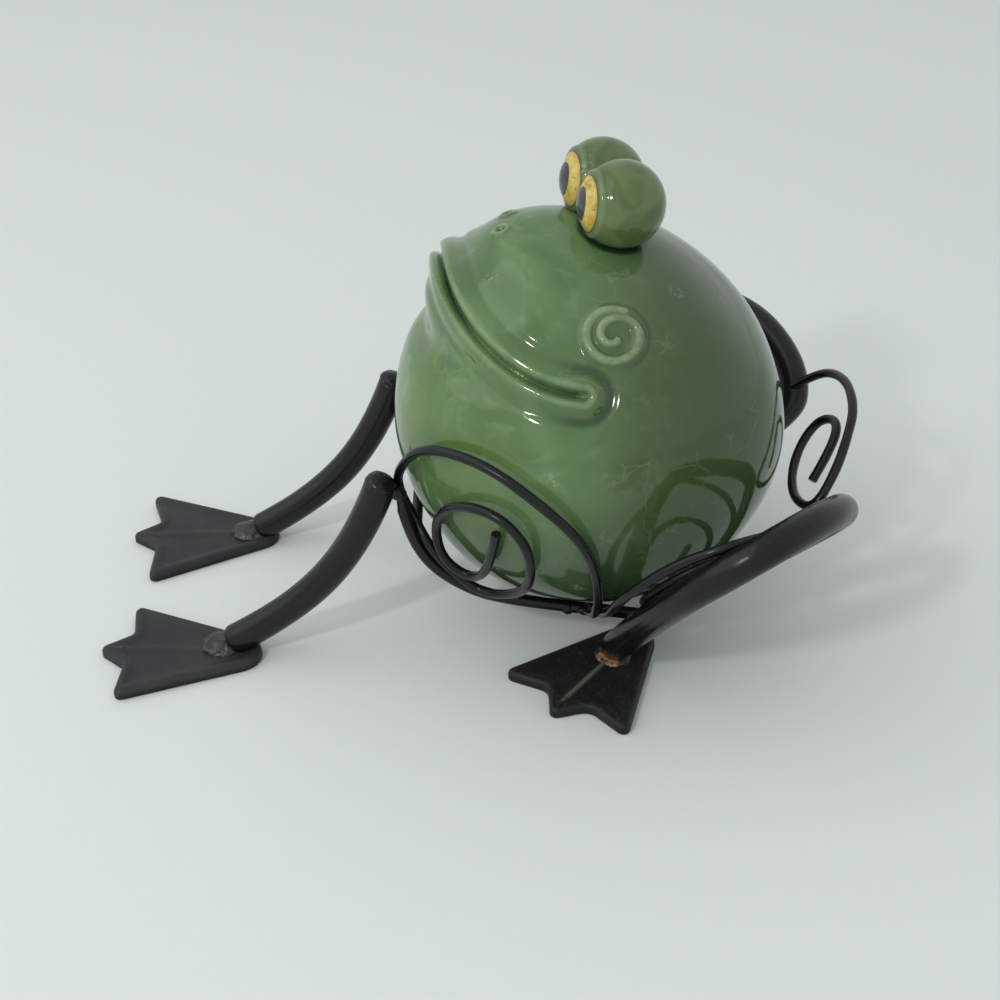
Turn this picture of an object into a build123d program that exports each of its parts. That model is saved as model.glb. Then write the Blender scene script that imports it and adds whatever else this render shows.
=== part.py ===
from build123d import *
from math import acos, cos, degrees, radians, sin, sqrt, tan
import os

# Garden frog: a hollow glazed clay ball with a face, sprung into a welded frame
# of bent steel tube and wire. Sizes are in millimetres. The frog stands on the
# XY plane and faces -Y, so its own left side is +X.

# Clay ball
ball_radius = 62.5
ball_clearance = 11.5
ball_height = ball_radius + ball_clearance
ball_setback = 37.77
shell_wall = 5
vent_radius = 3
head_turn = 4

# Snout, a low dome on the ball
snout_rise = 48.5
snout_radius = 38.5
snout_proud = 8.5
snout_setout = ball_radius + snout_proud - snout_radius
snout_blend = 14

# Mouth, two rounded lips that run round the snout and fall to the cheeks
lip_radius = 2.7
lip_sink = 0.4
lip_spread = 2.7
mouth_front_rise = 48.5
mouth_corner_rise = 31.6
mouth_corner_turn = 83
mouth_fall_share = 1.08
mouth_points = 11

# Nostrils
nostril_turn = 10.5
nostril_rise = 66
nostril_ring_radius = 2.4
nostril_wire_radius = 1.1
nostril_hole_radius = 0.9
nostril_hole_depth = 2

# Cheek spirals
cheek_turn = 88
cheek_rise = 49.5
cheek_radius = 8.4
cheek_ridge_radius = 1.6
cheek_sink = 0.7
cheek_half_turns = 4
cheek_start_share = 0.12

# Eyes, balls of clay luted on the crown as a pair that is turned to the left, with
# a flat front for the iris
eye_radius = 12.9
eye_spacing = 19.6
eye_setback = 4.1
eye_proud = 9.1
eye_lift = ball_radius + eye_proud
eye_pair_turn = 9
eye_front_depth = 10.4
eye_front_turn = -2
eye_front_tilt = 13
iris_radius = 7.6
iris_recess = 0.7
lid_radius = 0.9

# Steel stock
tube_radius = 5
tube_wall = 1
rail_radius = 2
cross_bar_radius = 1.8
wire_radius = 1.5
arc_share = 0.45
foot_weld_radius = 7.2
foot_weld_height = 5.6
foot_weld_lead = 2
end_weld_radius = 2.6
touch = 0.3

# Feet, stamped plates with three webbed toes, each spread a little differently. The
# toe backs say how far the left and the right side toes stay behind the middle one.
foot_length = 53
left_foot_half_width = 23.4
left_foot_toe_backs = (9.4, 6.2)
right_foot_half_width = 27.3
right_foot_toe_backs = (9.5, 3)
rear_foot_half_width = 24.2
rear_foot_toe_backs = (6, 6)
foot_plate = 3
foot_rim_height = 3.8
foot_rim_width = 2.4
foot_heel_radius = 8.1
foot_toe_radius = 2
foot_notch_radius = 4
foot_notch_back = 9.4
foot_notch_offset = 7.8
foot_edge_round = 1.6
foot_ridge_radius = 0.7

# Legs, rails and where they stand. Forward is from the ball's centre, heights are
# above the ground, and shares are of the ball's radius.
leg_spread_share = 0.528
leg_spread = ball_radius * leg_spread_share
front_leg_top_proud = 2.7
front_leg_top_forward = ball_radius + front_leg_top_proud
front_leg_top_drop = 8.4
front_leg_top_height = ball_height - front_leg_top_drop
front_leg_bend_lead = 13.8
front_leg_bend_forward = front_leg_top_forward + front_leg_bend_lead
front_leg_bend_height = 27.1
front_leg_bend_radius = 100
front_ankle_lead = 37.3
front_ankle_forward = front_leg_bend_forward + front_ankle_lead
front_ankle_height = 5
left_foot_heel_length = 9.6
left_foot_sideways = 3
left_foot_turn = -1.4
right_foot_heel_length = 6.4
right_foot_sideways = -0.5
right_foot_turn = 2.6
cap_dome_height = 2.6
rear_ankle_forward_share = -0.139
rear_ankle_sideways = 4.2
rear_ankle_height = 5.6
rear_heel_length = 17
rear_foot_turn = 53
hip_forward_share = -0.296
hip_drop_share = 0.936
rail_joint_forward = 7
rail_start_down = 1
rail_bite = 0.33

# The rear leg's bent tube lies in a plane beside the ball. Each row is how far
# the bend point lies along the arch, across it and out from the ball's centre.
arch_outward = (-0.472, 0.574, -0.670)
arch_along = (-0.678, 0.250, 0.692)
rear_leg_shares = (
    (0.13, 0.64, 1.088),
    (0.785, 0.705, 1.075),
    (0.96, 0.27, 1.064),
    (0.87, -0.19, 1.074),
    (0.625, -0.36, 1.090),
)
rear_scroll_shares = (
    (-0.464, 0.128, 0.955),
    (-0.150, 0.53, 0.980),
    (0.12, 0.71, 0.945),
    (0.43, 0.72, 0.936),
    (0.70, 0.66, 0.984),
    (0.785, 0.385, 1.032),
    (0.67, 0.08, 1.043),
    (0.42, -0.11, 1.038),
    (0.16, -0.03, 1.030),
    (-0.04, 0.08, 1.030),
    (-0.10, 0.27, 1.027),
    (0.00, 0.45, 1.002),
    (0.255, 0.56, 0.990),
    (0.45, 0.48, 1.005),
    (0.465, 0.24, 1.030),
    (0.32, 0.09, 1.038),
    (0.16, 0.07, 1.037),
    (0.03, 0.15, 1.034),
    (0.085, 0.25, 1.037),
    (0.30, 0.27, 1.038),
)

# Bend points of the rail and the front scroll: forward, outward and up from the
# ball's centre, as shares of its radius. The rail keeps to its own plane, and it
# starts on the front leg.
rail_shares = (
    (0.912, -0.488),
    (0.693, -0.736),
    (0.384, -0.856),
    (-0.368, -0.944),
)
front_hoop_share = 0.195
bottom_bar_share = 0.74
front_scroll_start_drop_share = 0.88
front_scroll_shares = (
    (-0.016, 0.768, -0.800),
    (-0.008, 0.976, -0.416),
    (0.072, 1.056, -0.136),
    (0.256, 1.056, 0.064),
    (0.544, 0.912, 0.224),
    (0.832, 0.672, 0.168),
    (0.960, 0.496, -0.072),
    (0.965, 0.440, -0.224),
    (0.890, 0.472, -0.368),
    (0.808, 0.581, -0.480),
    (0.688, 0.560, -0.656),
    (0.544, 0.584, -0.760),
    (0.376, 0.744, -0.648),
    (0.312, 0.928, -0.440),
    (0.328, 1.016, -0.176),
    (0.480, 0.960, -0.024),
    (0.688, 0.800, -0.072),
    (0.784, 0.640, -0.280),
    (0.755, 0.620, -0.515),
    (0.605, 0.625, -0.640),
    (0.512, 0.816, -0.448),
    (0.480, 0.928, -0.160),
)

# The tail scroll is flat, in a plane that touches the ball's back, and ties the
# two rear knees. Each row is how far the point lies to the left and up the plane.
tail_lean = 50.5
tail_scroll_shares = (
    (-0.600, 0.532),
    (-0.528, 0.752),
    (-0.272, 0.888),
    (0.032, 0.872),
    (0.208, 0.776),
    (0.380, 0.650),
    (0.516, 0.465),
    (0.320, 0.376),
    (0.112, 0.400),
    (-0.064, 0.512),
    (-0.120, 0.664),
    (0.016, 0.760),
    (0.176, 0.688),
    (0.298, 0.506),
)

seat_radius = ball_radius + touch + cross_bar_radius


def place(forward, outward, height):
    return Vector(outward, ball_setback - forward, height)


def from_ball(forward, outward, up):
    return place(forward, outward, ball_height + up)


ball_centre = from_ball(0, 0, 0)


def on_head(turn, rise, reach):
    # A point at a turn to the head's left and a rise above level, in degrees.
    level = reach * cos(radians(rise))
    heading = radians(turn + head_turn)
    return from_ball(level * cos(heading), level * sin(heading), reach * sin(radians(rise)))


def head_plane(turn, rise, reach):
    # A plane on the head that looks straight out from the ball's centre.
    spot = on_head(turn, rise, reach)
    return Plane(origin=spot, x_dir=on_head(turn + 90, 0, reach) - ball_centre, z_dir=spot - ball_centre)


def bend_radii(points):
    # The largest arcs that the runs beside each bend leave room for.
    radii = []
    for before, corner, after in zip(points, points[1:], points[2:]):
        turn = (corner - before).get_angle(after - corner)
        shorter = min((corner - before).length, (after - corner).length)
        radii.append(arc_share * shorter / tan(radians(turn / 2)))
    return radii


def bent_rod(points, radius, bore=0, radii=None):
    # Round stock bent along straight runs and tangent arcs, hollow where it has a bore.
    with BuildPart() as rod:
        with BuildLine() as route:
            FilletPolyline(*points, radius=radii or bend_radii(points))
        with BuildSketch(Plane(origin=route.line @ 0, z_dir=route.line % 0)):
            Circle(radius)
            if bore:
                Circle(bore, mode=Mode.SUBTRACT)
        sweep(path=route.line)
    return rod


def trimmed(piece, *neighbours):
    # A piece cut back to the faces that it is welded to.
    with BuildPart() as fitted:
        add(piece.part)
        for neighbour in neighbours:
            add(neighbour.part, mode=Mode.SUBTRACT)
    return fitted


def other_side(piece):
    with BuildPart() as twin:
        mirror(piece.part, about=Plane.YZ)
    return twin


# The ball and its snout are one turned form round the snout's own axis.
snout_plane = head_plane(0, snout_rise, ball_radius)
turning_axis = snout_plane.x_dir.cross(snout_plane.z_dir)
turning_plane = Plane(origin=ball_centre, x_dir=snout_plane.x_dir, z_dir=turning_axis)
blend_reach = ball_radius + snout_blend
blend_angle = acos(
    (blend_reach**2 + snout_setout**2 - (snout_radius + snout_blend) ** 2) / (2 * blend_reach * snout_setout)
)


def snout_surface(angle):
    # How far the ball's surface is from its centre, at an angle off the snout's axis.
    inside = snout_radius**2 - (snout_setout * sin(angle)) ** 2
    if inside <= 0 or cos(angle) <= 0:
        return ball_radius
    return max(ball_radius, snout_setout * cos(angle) + sqrt(inside))


def mouth_point(turn, lift):
    fall = cos(radians(turn * mouth_fall_share)) ** 2
    rise = mouth_corner_rise + (mouth_front_rise - mouth_corner_rise) * fall + lift
    direction = on_head(turn, rise, ball_radius) - ball_centre
    off_axis = radians(direction.get_angle(snout_plane.z_dir))
    return on_head(turn, rise, snout_surface(off_axis) - lip_sink)


def lip_points(lift):
    # The lips part along the front and meet at the two corners.
    points = []
    for step in range(mouth_points):
        share = 2 * step / (mouth_points - 1) - 1
        points.append(mouth_point(mouth_corner_turn * share, lift * (1 - share**6)))
    return points


def cheek_spiral(side):
    # A ridge of half circles that widens from the middle, flat on the cheek.
    plane = head_plane(side * cheek_turn, cheek_rise, ball_radius - cheek_sink)
    radius = cheek_radius * cheek_start_share
    growth = (cheek_radius - radius) / cheek_half_turns
    with BuildPart() as ridge:
        with BuildLine() as route:
            start = Vector(-side * radius, 0)
            for half in range(cheek_half_turns):
                reach = radius + growth * (half + 0.5)
                toward = side if half % 2 == 0 else -side
                end = start + Vector(2 * reach * toward, 0)
                middle = (start + end) / 2 + Vector(0, -reach if half % 2 == 0 else reach)
                ThreePointArc(*(plane.from_local_coords(point) for point in (start, middle, end)))
                start = end
        with BuildSketch(Plane(origin=route.line @ 0, z_dir=route.line % 0)):
            Circle(cheek_ridge_radius)
        sweep(path=route.line)
        with Locations(route.line @ 0, route.line @ 1):
            Sphere(cheek_ridge_radius)
    return ridge


def lip(lift):
    ridge = bent_rod(lip_points(lift), lip_radius)
    with BuildPart() as rounded:
        add(ridge.part)
        with Locations(mouth_point(mouth_corner_turn, 0), mouth_point(-mouth_corner_turn, 0)):
            Sphere(lip_radius)
    return rounded


with BuildPart() as clay_form:
    with BuildSketch(turning_plane):
        with BuildLine():
            ball_edge = Vector(sin(blend_angle), cos(blend_angle)) * ball_radius
            blend_centre = Vector(sin(blend_angle), cos(blend_angle)) * blend_reach
            snout_centre = Vector(0, snout_setout)
            snout_edge = snout_centre + (blend_centre - snout_centre).normalized() * snout_radius
            snout_tip = Vector(0, snout_setout + snout_radius)
            to_ball = (ball_edge - blend_centre).normalized()
            to_snout = (snout_edge - blend_centre).normalized()
            blend_middle = blend_centre + (to_ball + to_snout).normalized() * snout_blend
            ThreePointArc(Vector(0, -ball_radius), Vector(ball_radius, 0), ball_edge)
            ThreePointArc(ball_edge, blend_middle, snout_edge)
            tip_side = (snout_edge - snout_centre).normalized() + Vector(0, 1)
            ThreePointArc(snout_edge, snout_centre + tip_side.normalized() * snout_radius, snout_tip)
            Line(snout_tip, Vector(0, -ball_radius))
        make_face()
    revolve(axis=Axis(ball_centre, snout_plane.z_dir))

nostril_reach = snout_surface(radians(nostril_rise - snout_rise))
with BuildPart() as body_shell:
    add(clay_form.part)
    for lift in (lip_spread, -lip_spread):
        add(lip(lift).part)
    for side in (1, -1):
        add(cheek_spiral(side).part)
        with Locations(head_plane(side * nostril_turn, nostril_rise, nostril_reach)):
            Torus(nostril_ring_radius, nostril_wire_radius)
            Cylinder(nostril_hole_radius, 2 * nostril_hole_depth, mode=Mode.SUBTRACT)
    with Locations(ball_centre):
        Sphere(ball_radius - shell_wall, mode=Mode.SUBTRACT)
    with Locations(from_ball(0, 0, -ball_radius)):
        Cylinder(vent_radius, 2 * shell_wall, mode=Mode.SUBTRACT)


def eye(side):
    # A ball of clay, flat where it meets its twin and hollowed to sit on the shell.
    level = Vector(0, 0, 1)
    forward = (on_head(eye_pair_turn, 0, ball_radius) - ball_centre).normalized()
    leftward = level.cross(forward)
    crown = ball_centre - forward * eye_setback + level * eye_lift
    centre = crown + leftward * (side * eye_spacing / 2)
    mid_plane = Plane(origin=ball_centre, z_dir=leftward * side)
    look = forward.rotate(Axis.Z, eye_front_turn)
    front = Plane(origin=centre, x_dir=level.cross(look), z_dir=look).rotated((-eye_front_tilt, 0, 0))
    with BuildPart() as ball:
        with Locations(centre):
            Sphere(eye_radius)
        split(bisect_by=mid_plane, keep=Keep.TOP)
        with BuildSketch(front.offset(eye_front_depth)):
            Circle(eye_radius)
        extrude(amount=eye_radius, mode=Mode.SUBTRACT)
        with Locations(front.offset(eye_front_depth)):
            Torus(iris_radius, lid_radius)
            Cylinder(iris_radius, 2 * iris_recess, mode=Mode.SUBTRACT)
        split(bisect_by=mid_plane, keep=Keep.TOP)
        add(clay_form.part, mode=Mode.SUBTRACT)
    return ball


eye_left = eye(1)
eye_right = eye(-1)


def foot(heel, turn, half_width, toe_backs):
    # The plate's outline, drawn from the back of the heel to the middle toe.
    toe_line = Vector(0, -1, 0).rotate(Axis.Z, turn)
    plane = Plane(origin=heel, x_dir=toe_line, z_dir=(0, 0, 1))
    heel_centre = Vector(foot_heel_radius, 0)
    with BuildPart() as plate:
        with BuildSketch(plane) as outline:
            with BuildLine():
                for side, toe_back in zip((1, -1), toe_backs):
                    tip = Vector(foot_length - toe_back, side * half_width)
                    flare = Vector(1, 0).get_signed_angle(tip - heel_centre, Vector(0, 0, 1))
                    swing = side * degrees(acos(foot_heel_radius / (tip - heel_centre).length))
                    to_flank = Vector(foot_heel_radius, 0).rotate(Axis.Z, flare + swing)
                    flank = heel_centre + to_flank
                    to_heel_side = (to_flank - Vector(foot_heel_radius, 0)).normalized() * foot_heel_radius
                    heel_side = heel_centre + to_heel_side
                    notch = Vector(foot_length - foot_notch_back, side * foot_notch_offset)
                    ThreePointArc(Vector(0, 0), heel_side, flank)
                    Polyline(flank, tip, notch, Vector(foot_length, 0))
            make_face()
            # Farthest from the heel are the three toes, and next the two notches.
            fillet(outline.vertices().sort_by_distance(heel)[-3:], foot_toe_radius)
            fillet(outline.vertices().sort_by_distance(heel)[3:5], foot_notch_radius)
        extrude(amount=foot_plate)
        with BuildSketch(plane.offset(foot_plate)):
            add(outline.sketch_local)
            offset(amount=-foot_rim_width, mode=Mode.REPLACE)
            add(outline.sketch_local)
        extrude(amount=foot_rim_height - foot_plate)
        edge = plate.faces().filter_by(Axis.Z).sort_by(Axis.Z)[-1].outer_wire()
        fillet(edge.edges(), foot_edge_round)
        # A thin ridge runs from the ankle to the middle toe.
        ridge_start = heel + toe_line * 2 * foot_heel_radius + Vector(0, 0, foot_plate)
        ridge_length = foot_length - 2 * foot_heel_radius - 2 * foot_rim_width
        with Locations(Plane(origin=ridge_start, z_dir=toe_line)):
            Cylinder(foot_ridge_radius, ridge_length, align=(Align.CENTER, Align.CENTER, Align.MIN))
    return plate


def arch_point(along_share, across_share, out_share):
    # A point by its places along, across and out from the arch of the left rear leg.
    outward = Vector(*arch_outward).normalized()
    along = Vector(*arch_along)
    along = (along - outward * along.dot(outward)).normalized()
    spot = along * along_share + outward.cross(along) * across_share + outward * out_share
    return from_ball(spot.X * ball_radius, spot.Y * ball_radius, spot.Z * ball_radius)


def tail_point(left_share, up_share):
    # A point in the plane that leans on the ball's back.
    back = ball_radius + touch + wire_radius
    lean = radians(tail_lean)
    up = up_share * ball_radius
    forward = -back * sin(lean) - up * cos(lean)
    return from_ball(forward, left_share * ball_radius, up * sin(lean) - back * cos(lean))


def foot_weld(ankle, toe_line, *neighbours):
    # A low mound of weld metal that ties the end of a leg to its foot's plate.
    middle = Vector(ankle.X, ankle.Y, foot_plate + foot_weld_height - foot_weld_radius)
    with BuildPart() as mound:
        with Locations(middle + toe_line * foot_weld_lead):
            Sphere(foot_weld_radius)
        split(bisect_by=Plane.XY.offset(foot_plate), keep=Keep.TOP)
    return trimmed(mound, *neighbours)


def end_weld(spot, *neighbours):
    # A bead of weld metal by the end of a wire, clear of the ball and shaped to the rods that it joins.
    outward = (spot - ball_centre).normalized()
    with BuildPart() as bead:
        with Locations(ball_centre + outward * (ball_radius + touch + end_weld_radius)):
            Sphere(end_weld_radius)
    return trimmed(bead, *neighbours)


def both_sides(bead):
    with BuildPart() as pair:
        add(bead.part)
        mirror(about=Plane.YZ)
    return pair


def above_plate(piece):
    with BuildPart() as seated:
        add(piece.part)
        split(bisect_by=Plane.XY.offset(foot_plate), keep=Keep.TOP)
    return seated


# Feet
left_heel = place(front_ankle_forward - left_foot_heel_length, leg_spread + left_foot_sideways, 0)
front_foot_left = foot(left_heel, left_foot_turn, left_foot_half_width, left_foot_toe_backs)
right_heel = place(front_ankle_forward - right_foot_heel_length, right_foot_sideways - leg_spread, 0)
front_foot_right = foot(right_heel, right_foot_turn, right_foot_half_width, right_foot_toe_backs)
rear_ankle_forward = ball_radius * rear_ankle_forward_share
rear_ankle_spread = leg_spread + rear_ankle_sideways
rear_ankle = place(rear_ankle_forward, rear_ankle_spread, rear_ankle_height)
rear_toe_line = Vector(0, -1, 0).rotate(Axis.Z, rear_foot_turn)
rear_heel = place(rear_ankle_forward, rear_ankle_spread, 0) - rear_toe_line * rear_heel_length
rear_foot_left = foot(rear_heel, rear_foot_turn, rear_foot_half_width, rear_foot_toe_backs)

# Front leg, a tube that ends on the foot's plate and is closed by a domed cap
front_leg_top = place(front_leg_top_forward, leg_spread, front_leg_top_height)
front_leg_bend = place(front_leg_bend_forward, leg_spread, front_leg_bend_height)
front_ankle = place(front_ankle_forward, leg_spread, front_ankle_height)
front_leg_points = [front_leg_top, front_leg_bend, front_ankle]
front_leg_tube = bent_rod(front_leg_points, tube_radius, tube_radius - tube_wall, [front_leg_bend_radius])
front_leg_left = trimmed(above_plate(front_leg_tube), front_foot_left)
front_leg_right = trimmed(above_plate(other_side(front_leg_tube)), front_foot_right)
front_leg_envelope = above_plate(bent_rod(front_leg_points, tube_radius, radii=[front_leg_bend_radius]))
front_leg_right_envelope = other_side(front_leg_envelope)

cap_plane = Plane(origin=front_leg_top, x_dir=(1, 0, 0), z_dir=front_leg_top - front_leg_bend)
cap_radius = (tube_radius**2 + cap_dome_height**2) / (2 * cap_dome_height)
with BuildPart() as front_leg_cap_left:
    with Locations(cap_plane.offset(cap_dome_height - cap_radius)):
        Sphere(cap_radius)
    split(bisect_by=cap_plane, keep=Keep.TOP)

# Rear leg, one tube bent out from the foot, round the knee and back to the hip
hip = from_ball(ball_radius * hip_forward_share, leg_spread, -ball_radius * hip_drop_share)
rear_leg_points = [rear_ankle, *(arch_point(*row) for row in rear_leg_shares), hip]
rear_leg_tube = bent_rod(rear_leg_points, tube_radius, tube_radius - tube_wall)
rear_leg_left = trimmed(above_plate(rear_leg_tube), rear_foot_left)
rear_leg_envelope = above_plate(bent_rod(rear_leg_points, tube_radius))
rear_leg_right_envelope = other_side(rear_leg_envelope)

# Rails, each of two rods that meet end to end below the ball
down_leg = (front_leg_bend - front_leg_top).normalized()
inward = Vector(1, 0, 0).cross(down_leg)
rail_start = front_leg_top + down_leg * rail_start_down + inward * (tube_radius + rail_radius - rail_bite)
rail_points = [rail_start]
for ahead, up in rail_shares:
    rail_points.append(from_ball(ball_radius * ahead, leg_spread, ball_radius * up))
rail_joint = Plane(origin=place(rail_joint_forward, leg_spread, 0), z_dir=(0, -1, 0))
rail_left = trimmed(bent_rod(rail_points, rail_radius), rear_leg_envelope, front_leg_envelope)
with BuildPart() as front_rail_left:
    add(rail_left.part)
    split(bisect_by=rail_joint, keep=Keep.TOP)
with BuildPart() as rear_rail_left:
    add(rail_left.part)
    split(bisect_by=rail_joint, keep=Keep.BOTTOM)
rail_right = other_side(rail_left)

# Cross bars, arcs from rail to rail that seat the ball
with BuildLine() as rail_route:
    FilletPolyline(*rail_points, radius=bend_radii(rail_points))


def cross_bar(share):
    left = rail_route.line @ share
    level = Vector(0, left.Y - ball_centre.Y, left.Z - ball_centre.Z).normalized()
    seat = ball_centre + level * seat_radius
    with BuildPart() as bar:
        with BuildLine() as route:
            ThreePointArc(left, seat, Vector(-left.X, left.Y, left.Z))
        with BuildSketch(Plane(origin=route.line @ 0, z_dir=route.line % 0)):
            Circle(cross_bar_radius)
        sweep(path=route.line)
    return trimmed(bar, rail_left, rail_right)


front_cross_hoop = cross_bar(front_hoop_share)
bottom_cross_bar = cross_bar(bottom_bar_share)

# Wire scrolls
scroll_start_drop = ball_radius * front_scroll_start_drop_share
front_scroll_start = from_ball(wire_radius, leg_spread + touch, -scroll_start_drop)
front_scroll_points = [front_scroll_start]
for ahead, aside, up in front_scroll_shares:
    front_scroll_points.append(from_ball(ball_radius * ahead, ball_radius * aside, ball_radius * up))
front_scroll_left = trimmed(bent_rod(front_scroll_points, wire_radius), rail_left, front_leg_envelope)

rear_scroll_points = [arch_point(*row) for row in rear_scroll_shares]
rear_scroll_left = trimmed(bent_rod(rear_scroll_points, wire_radius), rail_left, rear_leg_envelope)

tail_scroll_points = [tail_point(*row) for row in tail_scroll_shares]
tail_scroll = trimmed(bent_rod(tail_scroll_points, wire_radius), rear_leg_envelope, rear_leg_right_envelope)

# Weld metal
left_toe_line = Vector(0, -1, 0).rotate(Axis.Z, left_foot_turn)
right_toe_line = Vector(0, -1, 0).rotate(Axis.Z, right_foot_turn)
right_ankle = Vector(-front_ankle.X, front_ankle.Y, front_ankle.Z)
with BuildPart() as front_foot_welds:
    add(foot_weld(front_ankle, left_toe_line, front_foot_left, front_leg_envelope).part)
    add(foot_weld(right_ankle, right_toe_line, front_foot_right, front_leg_right_envelope).part)
rear_foot_welds = both_sides(foot_weld(rear_ankle, rear_toe_line, rear_foot_left, rear_leg_envelope))
scroll_welds = both_sides(end_weld(front_scroll_start, rear_rail_left, front_scroll_left))

pieces = {
    "body_shell": body_shell,
    "eye_left": eye_left,
    "eye_right": eye_right,
    "front_leg_left": front_leg_left,
    "front_leg_right": front_leg_right,
    "front_foot_left": front_foot_left,
    "front_foot_right": front_foot_right,
    "tail_scroll": tail_scroll,
    "front_cross_hoop": front_cross_hoop,
    "bottom_cross_bar": bottom_cross_bar,
    "front_foot_welds": front_foot_welds,
    "rear_foot_welds": rear_foot_welds,
    "scroll_welds": scroll_welds,
}
paired = {
    "front_leg_cap": front_leg_cap_left,
    "rear_leg": rear_leg_left,
    "rear_foot": rear_foot_left,
    "front_rail": front_rail_left,
    "rear_rail": rear_rail_left,
    "front_scroll": front_scroll_left,
    "rear_scroll": rear_scroll_left,
}
for name, piece in paired.items():
    pieces[name + "_left"] = piece
    pieces[name + "_right"] = other_side(piece)

os.makedirs("parts", exist_ok=True)
for name, piece in pieces.items():
    piece.part.label = name
    export_step(piece.part, f"parts/{name}.step")
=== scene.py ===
import bpy
import numpy as np
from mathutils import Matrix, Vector, noise
from mathutils.geometry import delaunay_2d_cdt


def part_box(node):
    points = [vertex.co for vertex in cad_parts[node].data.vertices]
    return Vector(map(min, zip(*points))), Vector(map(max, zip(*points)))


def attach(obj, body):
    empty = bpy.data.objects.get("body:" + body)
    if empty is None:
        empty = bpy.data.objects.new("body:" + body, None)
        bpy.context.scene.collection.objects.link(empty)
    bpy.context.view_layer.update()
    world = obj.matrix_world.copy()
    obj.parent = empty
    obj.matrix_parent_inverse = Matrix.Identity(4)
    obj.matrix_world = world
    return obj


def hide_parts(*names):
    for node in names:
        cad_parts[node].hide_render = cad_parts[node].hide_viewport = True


# Garden frog: a glazed clay ball with a face, held in a cradle of bent black steel.
# Shapes are worked out in millimetres and turned into metres in addPiece.
# The frog faces -Y, and its own left side is +X.

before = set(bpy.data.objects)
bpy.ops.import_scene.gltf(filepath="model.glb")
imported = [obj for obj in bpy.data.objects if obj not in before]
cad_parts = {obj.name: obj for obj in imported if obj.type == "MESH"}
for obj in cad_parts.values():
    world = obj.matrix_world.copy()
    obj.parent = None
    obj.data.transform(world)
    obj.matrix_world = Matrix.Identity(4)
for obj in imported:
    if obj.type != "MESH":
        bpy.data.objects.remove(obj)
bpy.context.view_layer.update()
mm = 0.001
print("frame loaded with", len(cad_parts), "nodes")

ballLow, ballHigh = (np.array(corner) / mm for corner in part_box("body_shell"))
ballRadius = (ballHigh[0] - ballLow[0]) / 2
ballCentre = np.array([0, ballHigh[1] - ballRadius, ballLow[2] + ballRadius])


def srgb(red, green, blue):
    # a colour as a paint chart gives it, 0 to 255, turned into Blender's linear values
    shares = np.array([red, green, blue]) / 255
    linear = np.where(shares < 0.04045, shares / 12.92, ((shares + 0.055) / 1.055) ** 2.4)
    return (*linear.tolist(), 1.0)


def unit(vectors):
    vectors = np.asarray(vectors, dtype=float)
    return vectors / np.linalg.norm(vectors, axis=-1, keepdims=True)


def ease(start, end, values):
    # 0 at start, 1 at end and smooth between them
    share = np.clip((values - start) / (end - start), 0, 1)
    return share * share * (3 - 2 * share)


def hump(values, middle, halfWidth):
    # a rounded ridge, 1 in the middle and 0 beyond its half width
    share = np.clip((values - middle) / halfWidth, -1, 1)
    return np.cos(share * np.pi / 2) ** 2


def bell(values, width):
    # a soft bump, 1 at 0 and fading out over the width
    return np.exp(-((values / width) ** 2))


def fromBall(forward, outward, up):
    # a place given from the ball's centre
    return ballCentre + np.array([outward, -forward, up])


# the middle of Blender's noise, which runs from 0 to 1
noiseMiddle = 0.5


class Value:
    # one socket of a material that takes part in sums
    def __init__(self, finish, socket):
        self.finish = finish
        self.socket = socket

    def join(self, operation, first, second):
        return self.finish.node("ShaderNodeMath", {"operation": operation}, {0: first, 1: second})

    def __add__(self, other):
        return self.join("ADD", self, other)

    def __radd__(self, other):
        return self.join("ADD", other, self)

    def __sub__(self, other):
        return self.join("SUBTRACT", self, other)

    def __rsub__(self, other):
        return self.join("SUBTRACT", other, self)

    def __mul__(self, other):
        return self.join("MULTIPLY", self, other)

    def __rmul__(self, other):
        return self.join("MULTIPLY", other, self)


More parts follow.
